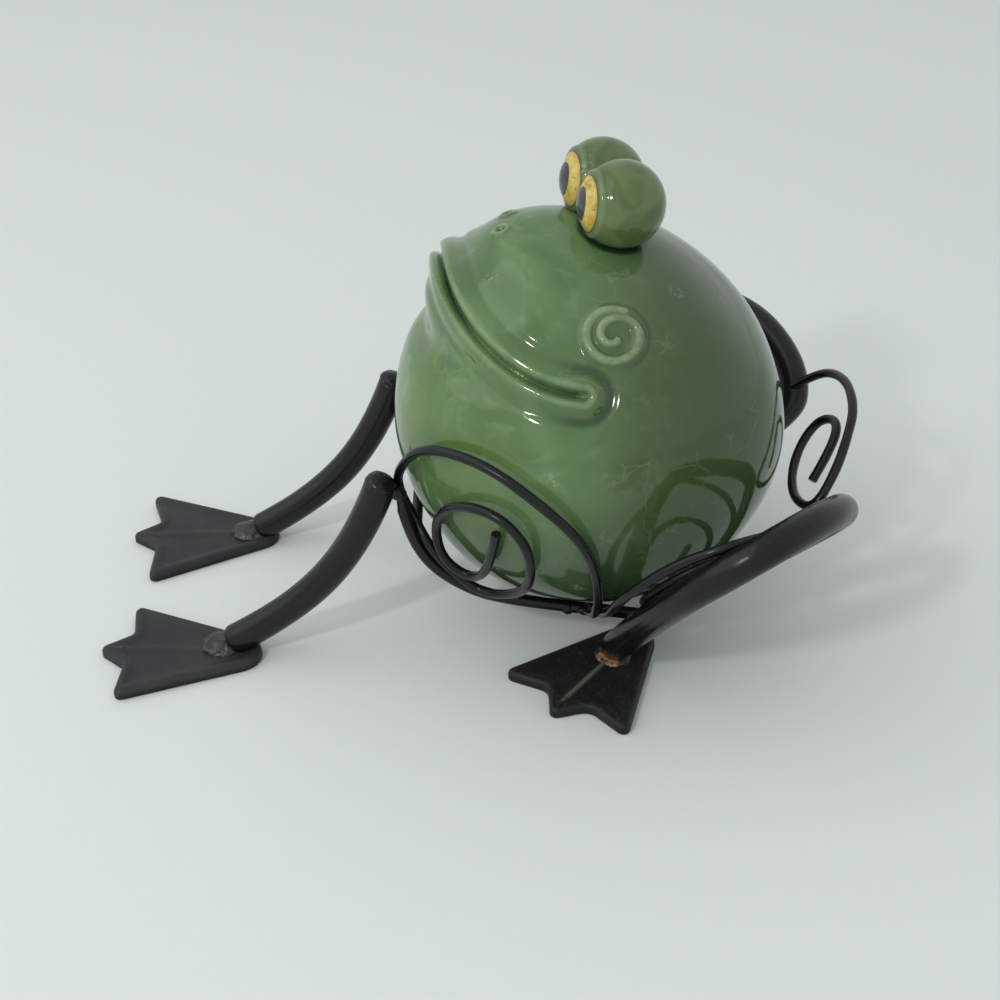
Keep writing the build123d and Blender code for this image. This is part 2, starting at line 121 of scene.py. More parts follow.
class Finish:
    # a material with its shader, and short ways to add the nodes that paint it
    def __init__(self, name, constants):
        self.material = bpy.data.materials.new(name)
        self.material.use_nodes = True
        self.tree = self.material.node_tree
        self.shader = self.tree.nodes["Principled BSDF"]
        for socket, value in constants.items():
            self.shader.inputs[socket].default_value = value
        self.place = self.node("ShaderNodeTexCoord", output="Object")
        self.facing = self.node("ShaderNodeNewGeometry", output="Normal")

    def node(self, kind, settings=None, sockets=None, output=0):
        made = self.tree.nodes.new(kind)
        for name, value in (settings or {}).items():
            setattr(made, name, value)
        for name, value in (sockets or {}).items():
            self.feed(made.inputs[name], value)
        return Value(self, made.outputs[output])

    def feed(self, socket, value):
        if isinstance(value, Value):
            self.tree.links.new(value.socket, socket)
        else:
            socket.default_value = value

    def paint(self, socket, value):
        self.feed(self.shader.inputs[socket], value)

    def cloud(self, size, detail=3, warp=0, shift=0):
        # soft noise whose lumps are about size millimetres wide
        moved = {0: self.place, 1: (shift, shift, shift)}
        spot = self.node("ShaderNodeVectorMath", {"operation": "ADD"}, moved)
        sockets = {"Vector": spot, "Scale": 1 / (size * mm), "Detail": detail, "Distortion": warp}
        return self.node("ShaderNodeTexNoise", None, sockets)

    def patches(self, start, end, **pattern):
        # a cloud pushed apart, 0 below the start and 1 past the end
        return self.ease(self.cloud(**pattern), start, end)

    def cells(self, size, feature="F1", warp=None, warpReach=0):
        # the distance to scattered points, or to walls, about size millimetres apart
        spot = self.place
        if warp:
            drift = self.node("ShaderNodeTexNoise", None, {"Vector": spot, "Scale": 1 / (warp * mm)}, "Color")
            reach = {0: drift, "Scale": warpReach * mm}
            push = self.node("ShaderNodeVectorMath", {"operation": "SCALE"}, reach)
            spot = self.node("ShaderNodeVectorMath", {"operation": "ADD"}, {0: spot, 1: push})
        sockets = {"Vector": spot, "Scale": 1 / (size * mm)}
        return self.node("ShaderNodeTexVoronoi", {"feature": feature}, sockets, "Distance")

    def ease(self, value, start, end):
        sockets = {"Value": value, "From Min": start, "From Max": end}
        return self.node("ShaderNodeMapRange", {"interpolation_type": "SMOOTHSTEP"}, sockets)

    def mix(self, mask, first, second):
        return self.node("ShaderNodeMix", {"data_type": "RGBA"}, {0: mask, 6: first, 7: second}, output=2)

    def mark(self, name):
        return self.node("ShaderNodeAttribute", {"attribute_name": name}, output="Fac")

    def near(self, spot, reach, fade):
        # 1 within reach millimetres of a spot, and 0 past the fade
        sockets = {0: self.place, 1: tuple(float(value) * mm for value in spot)}
        away = self.node("ShaderNodeVectorMath", {"operation": "DISTANCE"}, sockets, "Value")
        return self.ease(away, (reach + fade) * mm, reach * mm)

    def along(self, axis):
        # the place along one axis, in metres
        return self.node("ShaderNodeSeparateXYZ", None, {0: self.place}, axis)

    def upward(self):
        # 1 where the surface faces straight up
        return self.node("ShaderNodeSeparateXYZ", None, {0: self.facing}, "Z")

    def bump(self, height, depth, strength):
        sockets = {"Strength": strength, "Distance": depth * mm, "Height": height}
        self.paint("Normal", self.node("ShaderNodeBump", None, sockets))


def addPiece(name, shape, finish, replaced):
    # a visible piece that stands in for the CAD nodes named last
    points, faces, *marks = shape
    mesh = bpy.data.meshes.new(name)
    mesh.from_pydata((np.asarray(points) * mm).tolist(), [], faces)
    for mark, values in (marks[0] if marks else {}).items():
        layer = mesh.attributes.new(mark, "FLOAT", "POINT")
        layer.data.foreach_set("value", np.asarray(values, dtype=np.float32))
    mesh.shade_smooth()
    mesh.materials.append(finish.material)
    piece = bpy.data.objects.new(name, mesh)
    bpy.context.scene.collection.objects.link(piece)
    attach(piece, "root")
    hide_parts(*replaced)


def ballGrid(divisions, toward, crowding):
    # a cube's six faces blown up to a sphere, with its points crowded toward one side
    steps = np.tan(np.linspace(-1, 1, divisions + 1) * np.pi / 4)
    side = len(steps)
    across, along = np.meshgrid(steps, steps, indexing="ij")
    flat = np.ones_like(across)
    points = []
    faces = []
    for axis in range(3):
        for sign in (1, -1):
            parts = [None, None, None]
            parts[axis] = flat * sign
            parts[(axis + 1) % 3] = across * sign
            parts[(axis + 2) % 3] = along
            start = len(points) * side * side
            points.append(np.stack(parts, axis=-1).reshape(-1, 3))
            corner = (np.arange(side - 1)[:, None] * side + np.arange(side - 1)[None, :]).ravel() + start
            faces.append(np.stack([corner, corner + side, corner + side + 1, corner + 1], axis=1))
    points = unit(np.concatenate(points))
    faces = np.concatenate(faces)
    kept, index = np.unique(points.round(7), axis=0, return_inverse=True)
    return unit(kept + np.asarray(toward) * crowding), index.ravel()[faces].tolist()


headTurn = 4


def onHead(turn, rise):
    # a direction at a turn to the head's left and a rise above level, in degrees
    heading = np.radians(np.asarray(turn, dtype=float) + headTurn)
    rise = np.radians(np.asarray(rise, dtype=float))
    return np.stack([np.cos(rise) * np.sin(heading), -np.cos(rise) * np.cos(heading), np.sin(rise)], axis=-1)


def onBall(turn, rise):
    return ballCentre + onHead(turn, rise) * ballRadius


ball = {
    "divisions": 220,
    # the turn and rise toward which the mesh is finer, and by how much
    "fineSide": (45, 45),
    "crowding": 0.3,
    "snoutRise": 52.2,
    "snoutSideShare": 0.75,
    "snoutDropShare": 1.21,
    "snoutRadius": 36.2,
    "snoutSetout": 33.7,
    "snoutBlend": 9,
    "backSide": (180, 42),
    "backDip": 4.2,
    "backSpread": 33,
    "browSide": (0, 82),
    "browLift": 2.2,
    "browSpread": 13,
    # middle rise, half height, half width in degrees and depth of each hollow
    "hollows": ((31.3, 6.7, 41, 5), (55.9, 6.4, 37, 2.2)),
    "lumpHeight": 0.16,
    "lumpWaves": ((3.1, 5.2, -4.4), (-6.3, 2.7, 3.9), (5.5, -4.8, 6.1), (7.9, 6.4, 2.2)),
}
mouth = {
    "frontRise": 48.4,
    "cornerRise": 31.6,
    "cornerTurn": 80,
    "fall": 1.08,
    "droop": 3.3,
    "droopTurn": -36,
    "droopSpread": 22,
    "linePoints": 360,
    # how squarely a place has to face the snout to be measured, and the distance others get
    "facing": 0.2,
    "farAway": 99.0,
    "lipHeight": 2.25,
    "lipCrest": 2.4,
    "innerShare": 1.15,
    "upperWidth": 7.5,
    "lowerWidth": 6.4,
    "cornerWidth": 5.2,
    "blendHeight": 1.5,
    # how wide the lips are in front, as a share of the width they have from frontEnd on, and
    # from where on they narrow toward the corner
    "frontShare": 0.71,
    "frontEnd": 0.45,
    "narrowing": 0.75,
    "grooveDepth": 1.5,
    "grooveWidth": 0.75,
    "grooveEnd": 0.97,
    # the shallow moat round the lips and its strength above, below and from cornerStart on
    "moatMiddle": 7.6,
    "moatDepth": 0.9,
    "moatWidth": 3.2,
    "upperMoat": 0.8,
    "lowerMoat": 0.35,
    "cornerStart": 0.8,
    # how dark the crease's parts are painted, as pooled glaze with painted shade, and how pale the ridge is
    # painted, as thinner glaze with a painted highlight
    "grooveMark": 1.2,
    "moatMark": 0.4,
    "cornerMark": 0.3,
    "shadeMark": 0.55,
    "shadeWidth": 1.5,
    "ridgeMark": 0.75,
    "ridgeShift": 0.3,
    "ridgeHalfWidth": 2.4,
}
cheekSpiral = {
    "turn": 90,
    "rise": 47.8,
    # windings turned so far and the ridge's distance from the middle there
    "windings": (0, 0.55, 0.9, 1.15, 1.5, 1.85),
    "radii": (7.8, 7.7, 7.1, 4.7, 3.1, 0.9),
    "startAngle": 48,
    "startFade": 0.035,
    "endFade": 0.12,
    "ridgeHeight": 1.5,
    "ridgeHalfWidth": 2.7,
    "edgeShare": 0.75,
    # the moat lies outside the ridge on the spiral's back half
    "moatShift": 0.4,
    "moatWidth": 1.5,
    "moatDepth": 0.3,
    "moatRange": (-0.4, 0.8),
    "valleyFade": 2.5,
    "valleyMark": 0.55,
    "creaseMark": 0.55,
}
nostril = {
    # turn and rise on each side
    "places": {1: (5.5, 65), -1: (-17.5, 66.5)},
    "reach": 66,
    "ringRadius": 2.1,
    "ringHalfWidth": 1.5,
    "ringHeight": 0.7,
    "holeWidth": 0.85,
    "holeDepth": 1.5,
    "shadeRadius": 4.4,
    "shadeHalfWidth": 1.0,
    "shadeMark": 0.3,
}
eyes = {
    "divisions": 110,
    "crowding": 0.35,
    "radius": 12.9,
    "spacing": 19.6,
    "setback": 4.1,
    "lift": 71.6,
    "pairTurn": 9,
    # turn and rise that each eye looks toward
    "look": {1: (10, 6.5), -1: (12, 8.5)},
    "frontDepth": 10.1,
    "frontRounds": 12,
    "irisRadius": 8.0,
    "irisBulge": 3.1,
    "irisOverrun": 1.02,
    "pupilHalfHeight": 4.9,
    "pupilHalfWidth": 4.1,
    # what the pupil's mark is on the far half of the eye
    "pupilBehind": 9,
    "lidHeight": 0.5,
    "lidMiddle": 1.6,
    "lidHalfWidth": 1.8,
    "stepRange": (-0.15, 0.45),
    # dark glaze, pooled and with painted shade, where the eye meets the ball, at the iris's edge and between
    # the eyes
    "foldReach": 0.6,
    "foldWidth": 1.1,
    "rimMiddle": 0.1,
    "rimHalfWidth": 0.55,
    "seamWidth": 0.7,
    "seamMark": 0.9,
    "ridgeShift": 0.4,
    "ridgeHalfWidth": 1.9,
    # the dark pooled glaze and painted shade that the eye makes on the ball
    "poolShadeReach": 0.2,
    "poolShadeWidth": 1.8,
    "poolShadeMark": 1.15,
}


def eyeCentre(side):
    forward = onHead(eyes["pairTurn"], 0)
    leftward = onHead(eyes["pairTurn"] + 90, 0)
    middle = ballCentre - forward * eyes["setback"] + [0, 0, eyes["lift"]]
    return middle + leftward * side * eyes["spacing"] / 2


def turnAndRise(directions):
    # the turn and rise of each direction, in degrees, as onHead takes them
    heading = np.degrees(np.arctan2(directions[:, 0], -directions[:, 1])) - headTurn
    return (heading + 180) % 360 - 180, np.degrees(np.arcsin(np.clip(directions[:, 2], -1, 1)))


def angleFrom(directions, axis):
    return np.arccos(np.clip(directions @ axis, -1, 1))


def snoutReach(directions):
    # the snout's dome and the ball as one surface; the dome is wide, and steep below
    axis = onHead(0, ball["snoutRise"])
    aside = directions @ onHead(90, 0)
    above = directions @ onHead(180, 90 - ball["snoutRise"])
    slant = np.hypot(aside, above) + 1e-9
    drop = np.where(above < 0, ball["snoutDropShare"], 1)
    stretch = np.hypot(aside * ball["snoutSideShare"], above * drop) / slant
    offAxis = angleFrom(directions, axis) * stretch
    inside = ball["snoutRadius"] ** 2 - (ball["snoutSetout"] * np.sin(offAxis)) ** 2
    dome = ball["snoutSetout"] * np.cos(offAxis) + np.sqrt(np.maximum(inside, 0))
    dome = np.where((inside > 0) & (np.cos(offAxis) > 0), dome, 0)
    blend = ball["snoutBlend"]
    closeness = np.maximum(blend - np.abs(dome - ballRadius), 0) / blend
    return np.maximum(dome, ballRadius) + closeness**2 * blend / 4


def mouthRise(turn):
    fall = np.cos(np.radians(turn * mouth["fall"])) ** 2
    droop = mouth["droop"] * bell(turn - mouth["droopTurn"], mouth["droopSpread"])
    return mouth["cornerRise"] + (mouth["frontRise"] - mouth["cornerRise"]) * fall - droop


def fromLine(points, line):
    # each point's distance to a line of close points, the share of the line that lies before
    # it, and its offset from the nearest of them
    along = unit(np.gradient(line, axis=0))
    best = np.full(len(points), np.inf)
    nearest = np.zeros(len(points), dtype=int)
    for index, spot in enumerate(line):
        distance = ((points - spot) ** 2).sum(axis=1)
        closer = distance < best
        best[closer] = distance[closer]
        nearest[closer] = index
    offset = points - line[nearest]
    run = (offset * along[nearest]).sum(axis=1)
    inner = (nearest > 0) & (nearest < len(line) - 1)
    away = np.sqrt(np.maximum(best - np.where(inner, run, 0) ** 2, 0))
    return away, nearest / (len(line) - 1), offset


def spiralHeight(directions, side):
    # one cheek spiral's height, ridge and crease, on the plane that touches the cheek there
    middle = onHead(side * cheekSpiral["turn"], cheekSpiral["rise"])
    backward = unit(np.cross([0, 0, 1], middle)) * side
    upward = unit(np.cross(middle, np.cross([0, 0, 1], middle)))
    across = directions @ backward * ballRadius
    up = directions @ upward * ballRadius
    facing = directions @ middle > 0
    reach = np.hypot(across, up)
    angle = (np.arctan2(up, across) - np.radians(cheekSpiral["startAngle"])) % (2 * np.pi)
    lastWinding = cheekSpiral["windings"][-1]
    ridge = np.zeros(len(directions))
    for winding in range(2):
        turned = angle / (2 * np.pi) + winding
        radius = np.interp(turned, cheekSpiral["windings"], cheekSpiral["radii"])
        fade = ease(lastWinding, lastWinding - cheekSpiral["endFade"], turned)
        fade = fade * ease(0, cheekSpiral["startFade"], turned)
        ridge = np.maximum(ridge, hump(reach, radius, cheekSpiral["ridgeHalfWidth"]) * fade)
    edge = cheekSpiral["radii"][0] + cheekSpiral["ridgeHalfWidth"] * cheekSpiral["edgeShare"]
    moat = hump(reach, edge + cheekSpiral["moatShift"], cheekSpiral["moatWidth"])
    moat = moat * ease(*cheekSpiral["moatRange"], across / edge)
    valley = ease(edge, edge - cheekSpiral["valleyFade"], reach) * (1 - ridge)
    height = ridge * cheekSpiral["ridgeHeight"] - moat * cheekSpiral["moatDepth"]
    # the moat and the valley inside the spiral are painted darker: pooled glaze with painted shade
    crease = np.maximum(moat, valley * cheekSpiral["valleyMark"]) * cheekSpiral["creaseMark"]
    return height * facing, ridge * facing, crease * facing


def nostrilHeight(directions, side):
    # one nostril's height, ridge and crease
    away = angleFrom(directions, onHead(*nostril["places"][side])) * nostril["reach"]
    ring = hump(away, nostril["ringRadius"], nostril["ringHalfWidth"])
    # the hole and a ring round it are painted dark: painted shade with pooled glaze
    hole = bell(away, nostril["holeWidth"])
    shade = hump(away, nostril["shadeRadius"], nostril["shadeHalfWidth"]) * nostril["shadeMark"]
    height = ring * nostril["ringHeight"] - hole * nostril["holeDepth"]
    return height, ring, np.maximum(hole, shade)


def mouthHeight(directions, reach):
    # the lips' height, ridge and crease
    turns = np.linspace(-mouth["cornerTurn"], mouth["cornerTurn"], mouth["linePoints"])
    lineDirections = onHead(turns, mouthRise(turns))
    line = lineDirections * snoutReach(lineDirections)[:, None]
    facing = np.flatnonzero(directions @ onHead(0, ball["snoutRise"]) > mouth["facing"])
    away = np.full(len(directions), mouth["farAway"])
    share = np.zeros(len(directions))
    above = np.zeros(len(directions))
    distance, lineShare, offset = fromLine(directions[facing] * reach[facing, None], line)
    away[facing] = distance
    share[facing] = np.abs(lineShare * 2 - 1)
    above[facing] = offset[:, 2]
    upper = ease(-mouth["blendHeight"], mouth["blendHeight"], above)
    atCorner = ease(mouth["cornerStart"], 1, share)
    width = mouth["lowerWidth"] + (mouth["upperWidth"] - mouth["lowerWidth"]) * upper
    width = width + (mouth["cornerWidth"] - width) * ease(mouth["narrowing"], 1, share)
    width = width * (mouth["frontShare"] + (1 - mouth["frontShare"]) * ease(0, mouth["frontEnd"], share))
    crest = mouth["lipCrest"]
    inner = hump(away, crest, crest * mouth["innerShare"])
    lip = np.where(away < crest, inner, hump(away, crest, width))
    inMouth = ease(1.0, mouth["grooveEnd"], share)
    groove = bell(away, mouth["grooveWidth"]) * inMouth
    moatShare = np.maximum(upper * mouth["upperMoat"], mouth["lowerMoat"])
    moatShare = moatShare + (1 - moatShare) * atCorner
    moat = hump(away, mouth["moatMiddle"], mouth["moatWidth"]) * moatShare
    height = lip * mouth["lipHeight"] - groove * mouth["grooveDepth"] - moat * mouth["moatDepth"]
    # the moat is painted darker, most at the corners: pooled glaze with painted shade
    moatMark = moat * (mouth["moatMark"] + mouth["cornerMark"] * atCorner)
    crease = np.maximum(groove * mouth["grooveMark"], moatMark)
    # a band of painted shade along the groove
    crease = np.maximum(crease, mouth["shadeMark"] * bell(away, mouth["shadeWidth"]) * inMouth)
    # the lips' ridge is painted pale: thinner glaze with a painted highlight
    ridge = hump(away, crest + mouth["ridgeShift"], mouth["ridgeHalfWidth"]) * mouth["ridgeMark"]
    return height, ridge, crease


def shapeBall():
    directions, faces = ballGrid(ball["divisions"], onHead(*ball["fineSide"]), ball["crowding"])
    reach = snoutReach(directions)
    back = np.degrees(angleFrom(directions, onHead(*ball["backSide"])))
    reach = reach - ball["backDip"] * bell(back, ball["backSpread"])
    brow = np.degrees(angleFrom(directions, onHead(*ball["browSide"])))
    reach = reach + ball["browLift"] * bell(brow, ball["browSpread"])
    turns, rises = turnAndRise(directions)
    for middle, halfHeight, halfWidth, depth in ball["hollows"]:
        reach = reach - depth * bell(rises - middle, halfHeight) * bell(turns, halfWidth)
    for phase, wave in enumerate(ball["lumpWaves"]):
        reach = reach + ball["lumpHeight"] * np.sin(directions @ np.array(wave) + phase)

    height, ridge, crease = mouthHeight(directions, reach)
    reach = reach + height
    for side in (1, -1):
        for detail in (spiralHeight, nostrilHeight):
            height, raised, sunk = detail(directions, side)
            reach = reach + height
            ridge = np.maximum(ridge, raised)
            crease = np.maximum(crease, sunk)
    points = directions * reach[:, None] + ballCentre
    # round each eye the ball is painted dark: pooled glaze with painted shade
    for side in (1, -1):
        toEye = np.linalg.norm(points - eyeCentre(side), axis=1) - eyes["radius"]
        poolShade = bell(np.maximum(toEye - eyes["poolShadeReach"], 0), eyes["poolShadeWidth"])
        crease = np.maximum(crease, eyes["poolShadeMark"] * poolShade)
    return points, faces, {"crease": crease, "ridge": ridge}


def shapeEye(side):
    # a ball of clay with a bulging iris, a lid round it and a flat side toward the other eye
    centre = eyeCentre(side)
    heading, rise = eyes["look"][side]
    look = onHead(heading, rise)
    leftward = onHead(eyes["pairTurn"] + 90, 0)
    sideways = onHead(heading + 90, 0)
    upward = np.cross(look, -sideways)
    directions, faces = ballGrid(eyes["divisions"], look, eyes["crowding"])
    off = angleFrom(directions, look)
    edge = np.arcsin(eyes["irisRadius"] / eyes["radius"])
    nearEdge = np.minimum(off, edge * eyes["irisOverrun"])
    out = np.full(len(off), eyes["frontDepth"])
    for _ in range(eyes["frontRounds"]):
        across = np.minimum(out * np.tan(nearEdge) / eyes["irisRadius"], 1)
        out = eyes["frontDepth"] + eyes["irisBulge"] * (1 - across**2)
    front = out / np.cos(nearEdge)
    fromEdge = (off - edge) * eyes["radius"]
    lid = eyes["radius"] + eyes["lidHeight"] * hump(fromEdge, eyes["lidMiddle"], eyes["lidHalfWidth"])
    step = ease(*eyes["stepRange"], fromEdge)
    reach = np.where(off < edge, front, lid * step + front * (1 - step))
    points = directions * reach[:, None]
    wide = points @ sideways / eyes["pupilHalfWidth"]
    tall = points @ upward / eyes["pupilHalfHeight"]
    pupil = np.where(directions @ look > 0, wide**2 + tall**2, eyes["pupilBehind"])
    points = points + centre
    outward = (points - ballCentre) @ leftward * side
    points = points - np.outer(np.minimum(outward, 0), leftward) * side
    toBall = np.linalg.norm(points - ballCentre, axis=1) - ballRadius
    # the crease mark paints pooled glaze with painted shade
    fold = bell(np.maximum(toBall - eyes["foldReach"], 0), eyes["foldWidth"])
    crease = np.maximum(fold, hump(fromEdge, eyes["rimMiddle"], eyes["rimHalfWidth"]))
    crease = np.maximum(crease, bell(np.maximum(outward, 0), eyes["seamWidth"]) * eyes["seamMark"])
    ridge = hump(fromEdge, eyes["lidMiddle"] + eyes["ridgeShift"], eyes["ridgeHalfWidth"])
    return points, faces, {"crease": crease, "ridge": ridge, "fromEdge": fromEdge, "pupil": pupil}


glaze = {
    "green": srgb(98, 130, 84),
    "deepGreen": srgb(82, 112, 70),
    "milkyGreen": srgb(118, 147, 106),
    "yellowGreen": srgb(94, 120, 62),
    "olive": srgb(62, 82, 42),
    # colours of the painted shade on the underside and on the back
    "underShadeGreen": srgb(50, 71, 44),
    "backShadeGreen": srgb(58, 76, 44),
    # dark green for the creases: pooled glaze with painted shade
    "poolShade": srgb(26, 46, 32),
    # pale green of thinner glaze, also used for the painted highlight on ridges
    "thin": srgb(148, 168, 128),
    "rubbed": srgb(122, 120, 78),
    "shader": {"Roughness": 0.09, "IOR": 1.5},
    "soft": {"size": 26, "detail": 4, "warp": 0.6},
    "softRange": (0.38, 0.62),
    "milky": {"start": 0.52, "end": 0.7, "size": 13, "detail": 5, "warp": 1.2, "shift": 0.4},
    "milkyShare": 0.5,
    "throatPlace": (38, 8),
    "throatReach": 20,
    "throatFade": 45,
    "throat": {"start": 0.35, "end": 0.65, "size": 17, "warp": 1, "shift": 0.2},
    "throatShare": 0.7,
    # metres behind the origin and above the ground, between which the glaze is painted darker as painted
    # shade on the back and the underside
    "backShadeRange": (0.014, 0.07),
    "backShadeWaver": 0.03,
    "backShadeShare": 0.9,
    "underShadeRange": (0.085, 0.03),
    "underShadeShare": 0.8,
    # turn, rise, size and noise shift of each olive patch
    "olives": (
        (112, 28, 17, 0.38),
        (100, 8, 13, 0.18),
        (128, 45, 16, 0.55),
        (-105, 20, 18, 0.3),
        (170, 25, 22, 0.35),
    ),
    "oliveMiddle": 0.4,
    "oliveEdge": {"start": 0.4, "end": 0.62, "size": 9, "detail": 5, "warp": 1.5},
    "oliveShare": 0.8,
    "veinCells": {"size": 11, "feature": "DISTANCE_TO_EDGE", "warp": 7, "warpReach": 9},
    "veinRange": (0.035, 0.008),
    "veins": {"start": 0.52, "end": 0.62, "size": 20, "detail": 2, "shift": 0.7},
    "veinShare": 0.13,
    "clusterCells": {"size": 24},
    "clusterRange": (0.17, 0.07),
    "pitCells": {"size": 1.3, "warp": 2, "warpReach": 0.6},
    "pitRange": (0.55, 0.35),
    "spotShare": 0.4,
    "ridgeRange": (0.4, 1.0),
    "ridge": {"start": 0.3, "end": 0.65, "size": 5, "detail": 4, "warp": 1},
    "ridgeShare": 0.3,
    "ridgeBrokenShare": 0.35,
    "wornRange": (0.6, 1.0),
    "worn": {"start": 0.55, "end": 0.72, "size": 6, "detail": 4, "warp": 1.5, "shift": 0.3},
    "wornShare": 0.45,
    "creaseRange": (0.15, 1.0),
    "creaseShare": 0.92,
    "swell": {"size": 9, "detail": 2},
    "spotSwell": 0.35,
    "veinSwell": 0.1,
    "bump": {"depth": 0.25, "strength": 0.5},
}


def glazeSpots(finish):
    # clusters of tiny burst bubbles in the glaze
    cluster = finish.ease(finish.cells(**glaze["clusterCells"]), *glaze["clusterRange"])
    return cluster * finish.ease(finish.cells(**glaze["pitCells"]), *glaze["pitRange"])


def greenGlaze():
    finish = Finish("greenGlaze", glaze["shader"])
    soft = finish.cloud(**glaze["soft"])
    colour = finish.mix(finish.ease(soft, *glaze["softRange"]), glaze["deepGreen"], glaze["green"])
    colour = finish.mix(finish.patches(**glaze["milky"]) * glaze["milkyShare"], colour, glaze["milkyGreen"])
    throat = finish.near(onBall(*glaze["throatPlace"]), glaze["throatReach"], glaze["throatFade"])
    throat = throat * finish.patches(**glaze["throat"]) * glaze["throatShare"]
    colour = finish.mix(throat, colour, glaze["yellowGreen"])
    # painted shade: the glaze is painted darker toward the back, with a wavering edge
    behind = finish.along("Y") + (soft - noiseMiddle) * glaze["backShadeWaver"]
    behind = finish.ease(behind, *glaze["backShadeRange"]) * glaze["backShadeShare"]
    colour = finish.mix(behind, colour, glaze["backShadeGreen"])
    # painted shade: the glaze is painted darker toward the bottom
    under = finish.ease(finish.along("Z"), *glaze["underShadeRange"]) * glaze["underShadeShare"]
    colour = finish.mix(under, colour, glaze["underShadeGreen"])
    for turn, rise, size, shift in glaze["olives"]:
        patch = finish.near(onBall(turn, rise), size * glaze["oliveMiddle"], size)
        ragged = finish.patches(**glaze["oliveEdge"], shift=shift)
        colour = finish.mix(patch * ragged * glaze["oliveShare"], colour, glaze["olive"])
    veins = finish.ease(finish.cells(**glaze["veinCells"]), *glaze["veinRange"])
    veins = veins * finish.patches(**glaze["veins"])
    colour = finish.mix(veins * glaze["veinShare"], colour, glaze["thin"])
    spots = glazeSpots(finish)
    colour = finish.mix(spots * glaze["spotShare"], colour, glaze["thin"])
    # ridges are painted pale: thinner glaze with a painted highlight
    ridge = finish.mark("ridge")
    broken = glaze["ridgeShare"] + finish.patches(**glaze["ridge"]) * glaze["ridgeBrokenShare"]
    colour = finish.mix(finish.ease(ridge, *glaze["ridgeRange"]) * broken, colour, glaze["thin"])
    worn = finish.ease(ridge, *glaze["wornRange"]) * finish.patches(**glaze["worn"])
    colour = finish.mix(worn * glaze["wornShare"], colour, glaze["rubbed"])
    # the creases are painted dark: pooled glaze with painted shade
    crease = finish.ease(finish.mark("crease"), *glaze["creaseRange"])
    colour = finish.mix(crease * glaze["creaseShare"], colour, glaze["poolShade"])
    finish.paint("Base Color", colour)
    swell = finish.cloud(**glaze["swell"]) + spots * glaze["spotSwell"] - veins * glaze["veinSwell"]
    finish.bump(swell, **glaze["bump"])
    return finish


eyeLook = {
    "ochre": srgb(194, 162, 64),
    "pale": srgb(208, 188, 106),
    "brown": srgb(142, 112, 42),
    "pupil": srgb(62, 59, 64),
    "lidGreen": srgb(96, 114, 70),
    "lidDark": srgb(78, 97, 54),
    "soft": {"start": 0.35, "end": 0.65, "size": 11, "detail": 4, "warp": 1},
    "spotShare": 0.5,
    "ridgeRange": (0.3, 1.0),
    "ridgeShare": 0.22,
    "creaseRange": (0.2, 1.0),
    "creaseShare": 0.9,
    "paleSpots": {"start": 0.4, "end": 0.65, "size": 3, "detail": 4, "warp": 1},
    "brownSpots": {"start": 0.55, "end": 0.72, "size": 2.2, "detail": 4, "warp": 1, "shift": 0.5},
    "brownShare": 0.7,
    # distances from the iris's edge in millimetres
    "rimRange": (-0.9, -0.2),
    "rimShare": 0.4,
    "irisRange": (0.12, -0.12),
    "pupilRange": (1.05, 0.97),
    "swell": {"size": 5, "detail": 2},
    "bump": {"depth": 0.15, "strength": 0.4},
}


def eyeGlaze():
    finish = Finish("eyeGlaze", glaze["shader"])
    colour = finish.mix(finish.patches(**eyeLook["soft"]), eyeLook["lidDark"], eyeLook["lidGreen"])
    colour = finish.mix(glazeSpots(finish) * eyeLook["spotShare"], colour, glaze["thin"])
    # the lid's ridge is painted pale: thinner glaze with a painted highlight
    ridge = finish.ease(finish.mark("ridge"), *eyeLook["ridgeRange"])
    colour = finish.mix(ridge * eyeLook["ridgeShare"], colour, glaze["thin"])
    # the eye's creases are painted dark: pooled glaze with painted shade
    crease = finish.ease(finish.mark("crease"), *eyeLook["creaseRange"])
    colour = finish.mix(crease * eyeLook["creaseShare"], colour, glaze["poolShade"])
    ochre = finish.mix(finish.patches(**eyeLook["paleSpots"]), eyeLook["ochre"], eyeLook["pale"])
    brown = finish.patches(**eyeLook["brownSpots"]) * eyeLook["brownShare"]
    ochre = finish.mix(brown, ochre, eyeLook["brown"])
    fromEdge = finish.mark("fromEdge")
    rim = finish.ease(fromEdge, *eyeLook["rimRange"]) * eyeLook["rimShare"]
    ochre = finish.mix(rim, ochre, eyeLook["brown"])
    ochre = finish.mix(finish.ease(finish.mark("pupil"), *eyeLook["pupilRange"]), ochre, eyeLook["pupil"])
    colour = finish.mix(finish.ease(fromEdge, *eyeLook["irisRange"]), colour, ochre)
    finish.paint("Base Color", colour)
    finish.bump(finish.cloud(**eyeLook["swell"]), **eyeLook["bump"])
    return finish


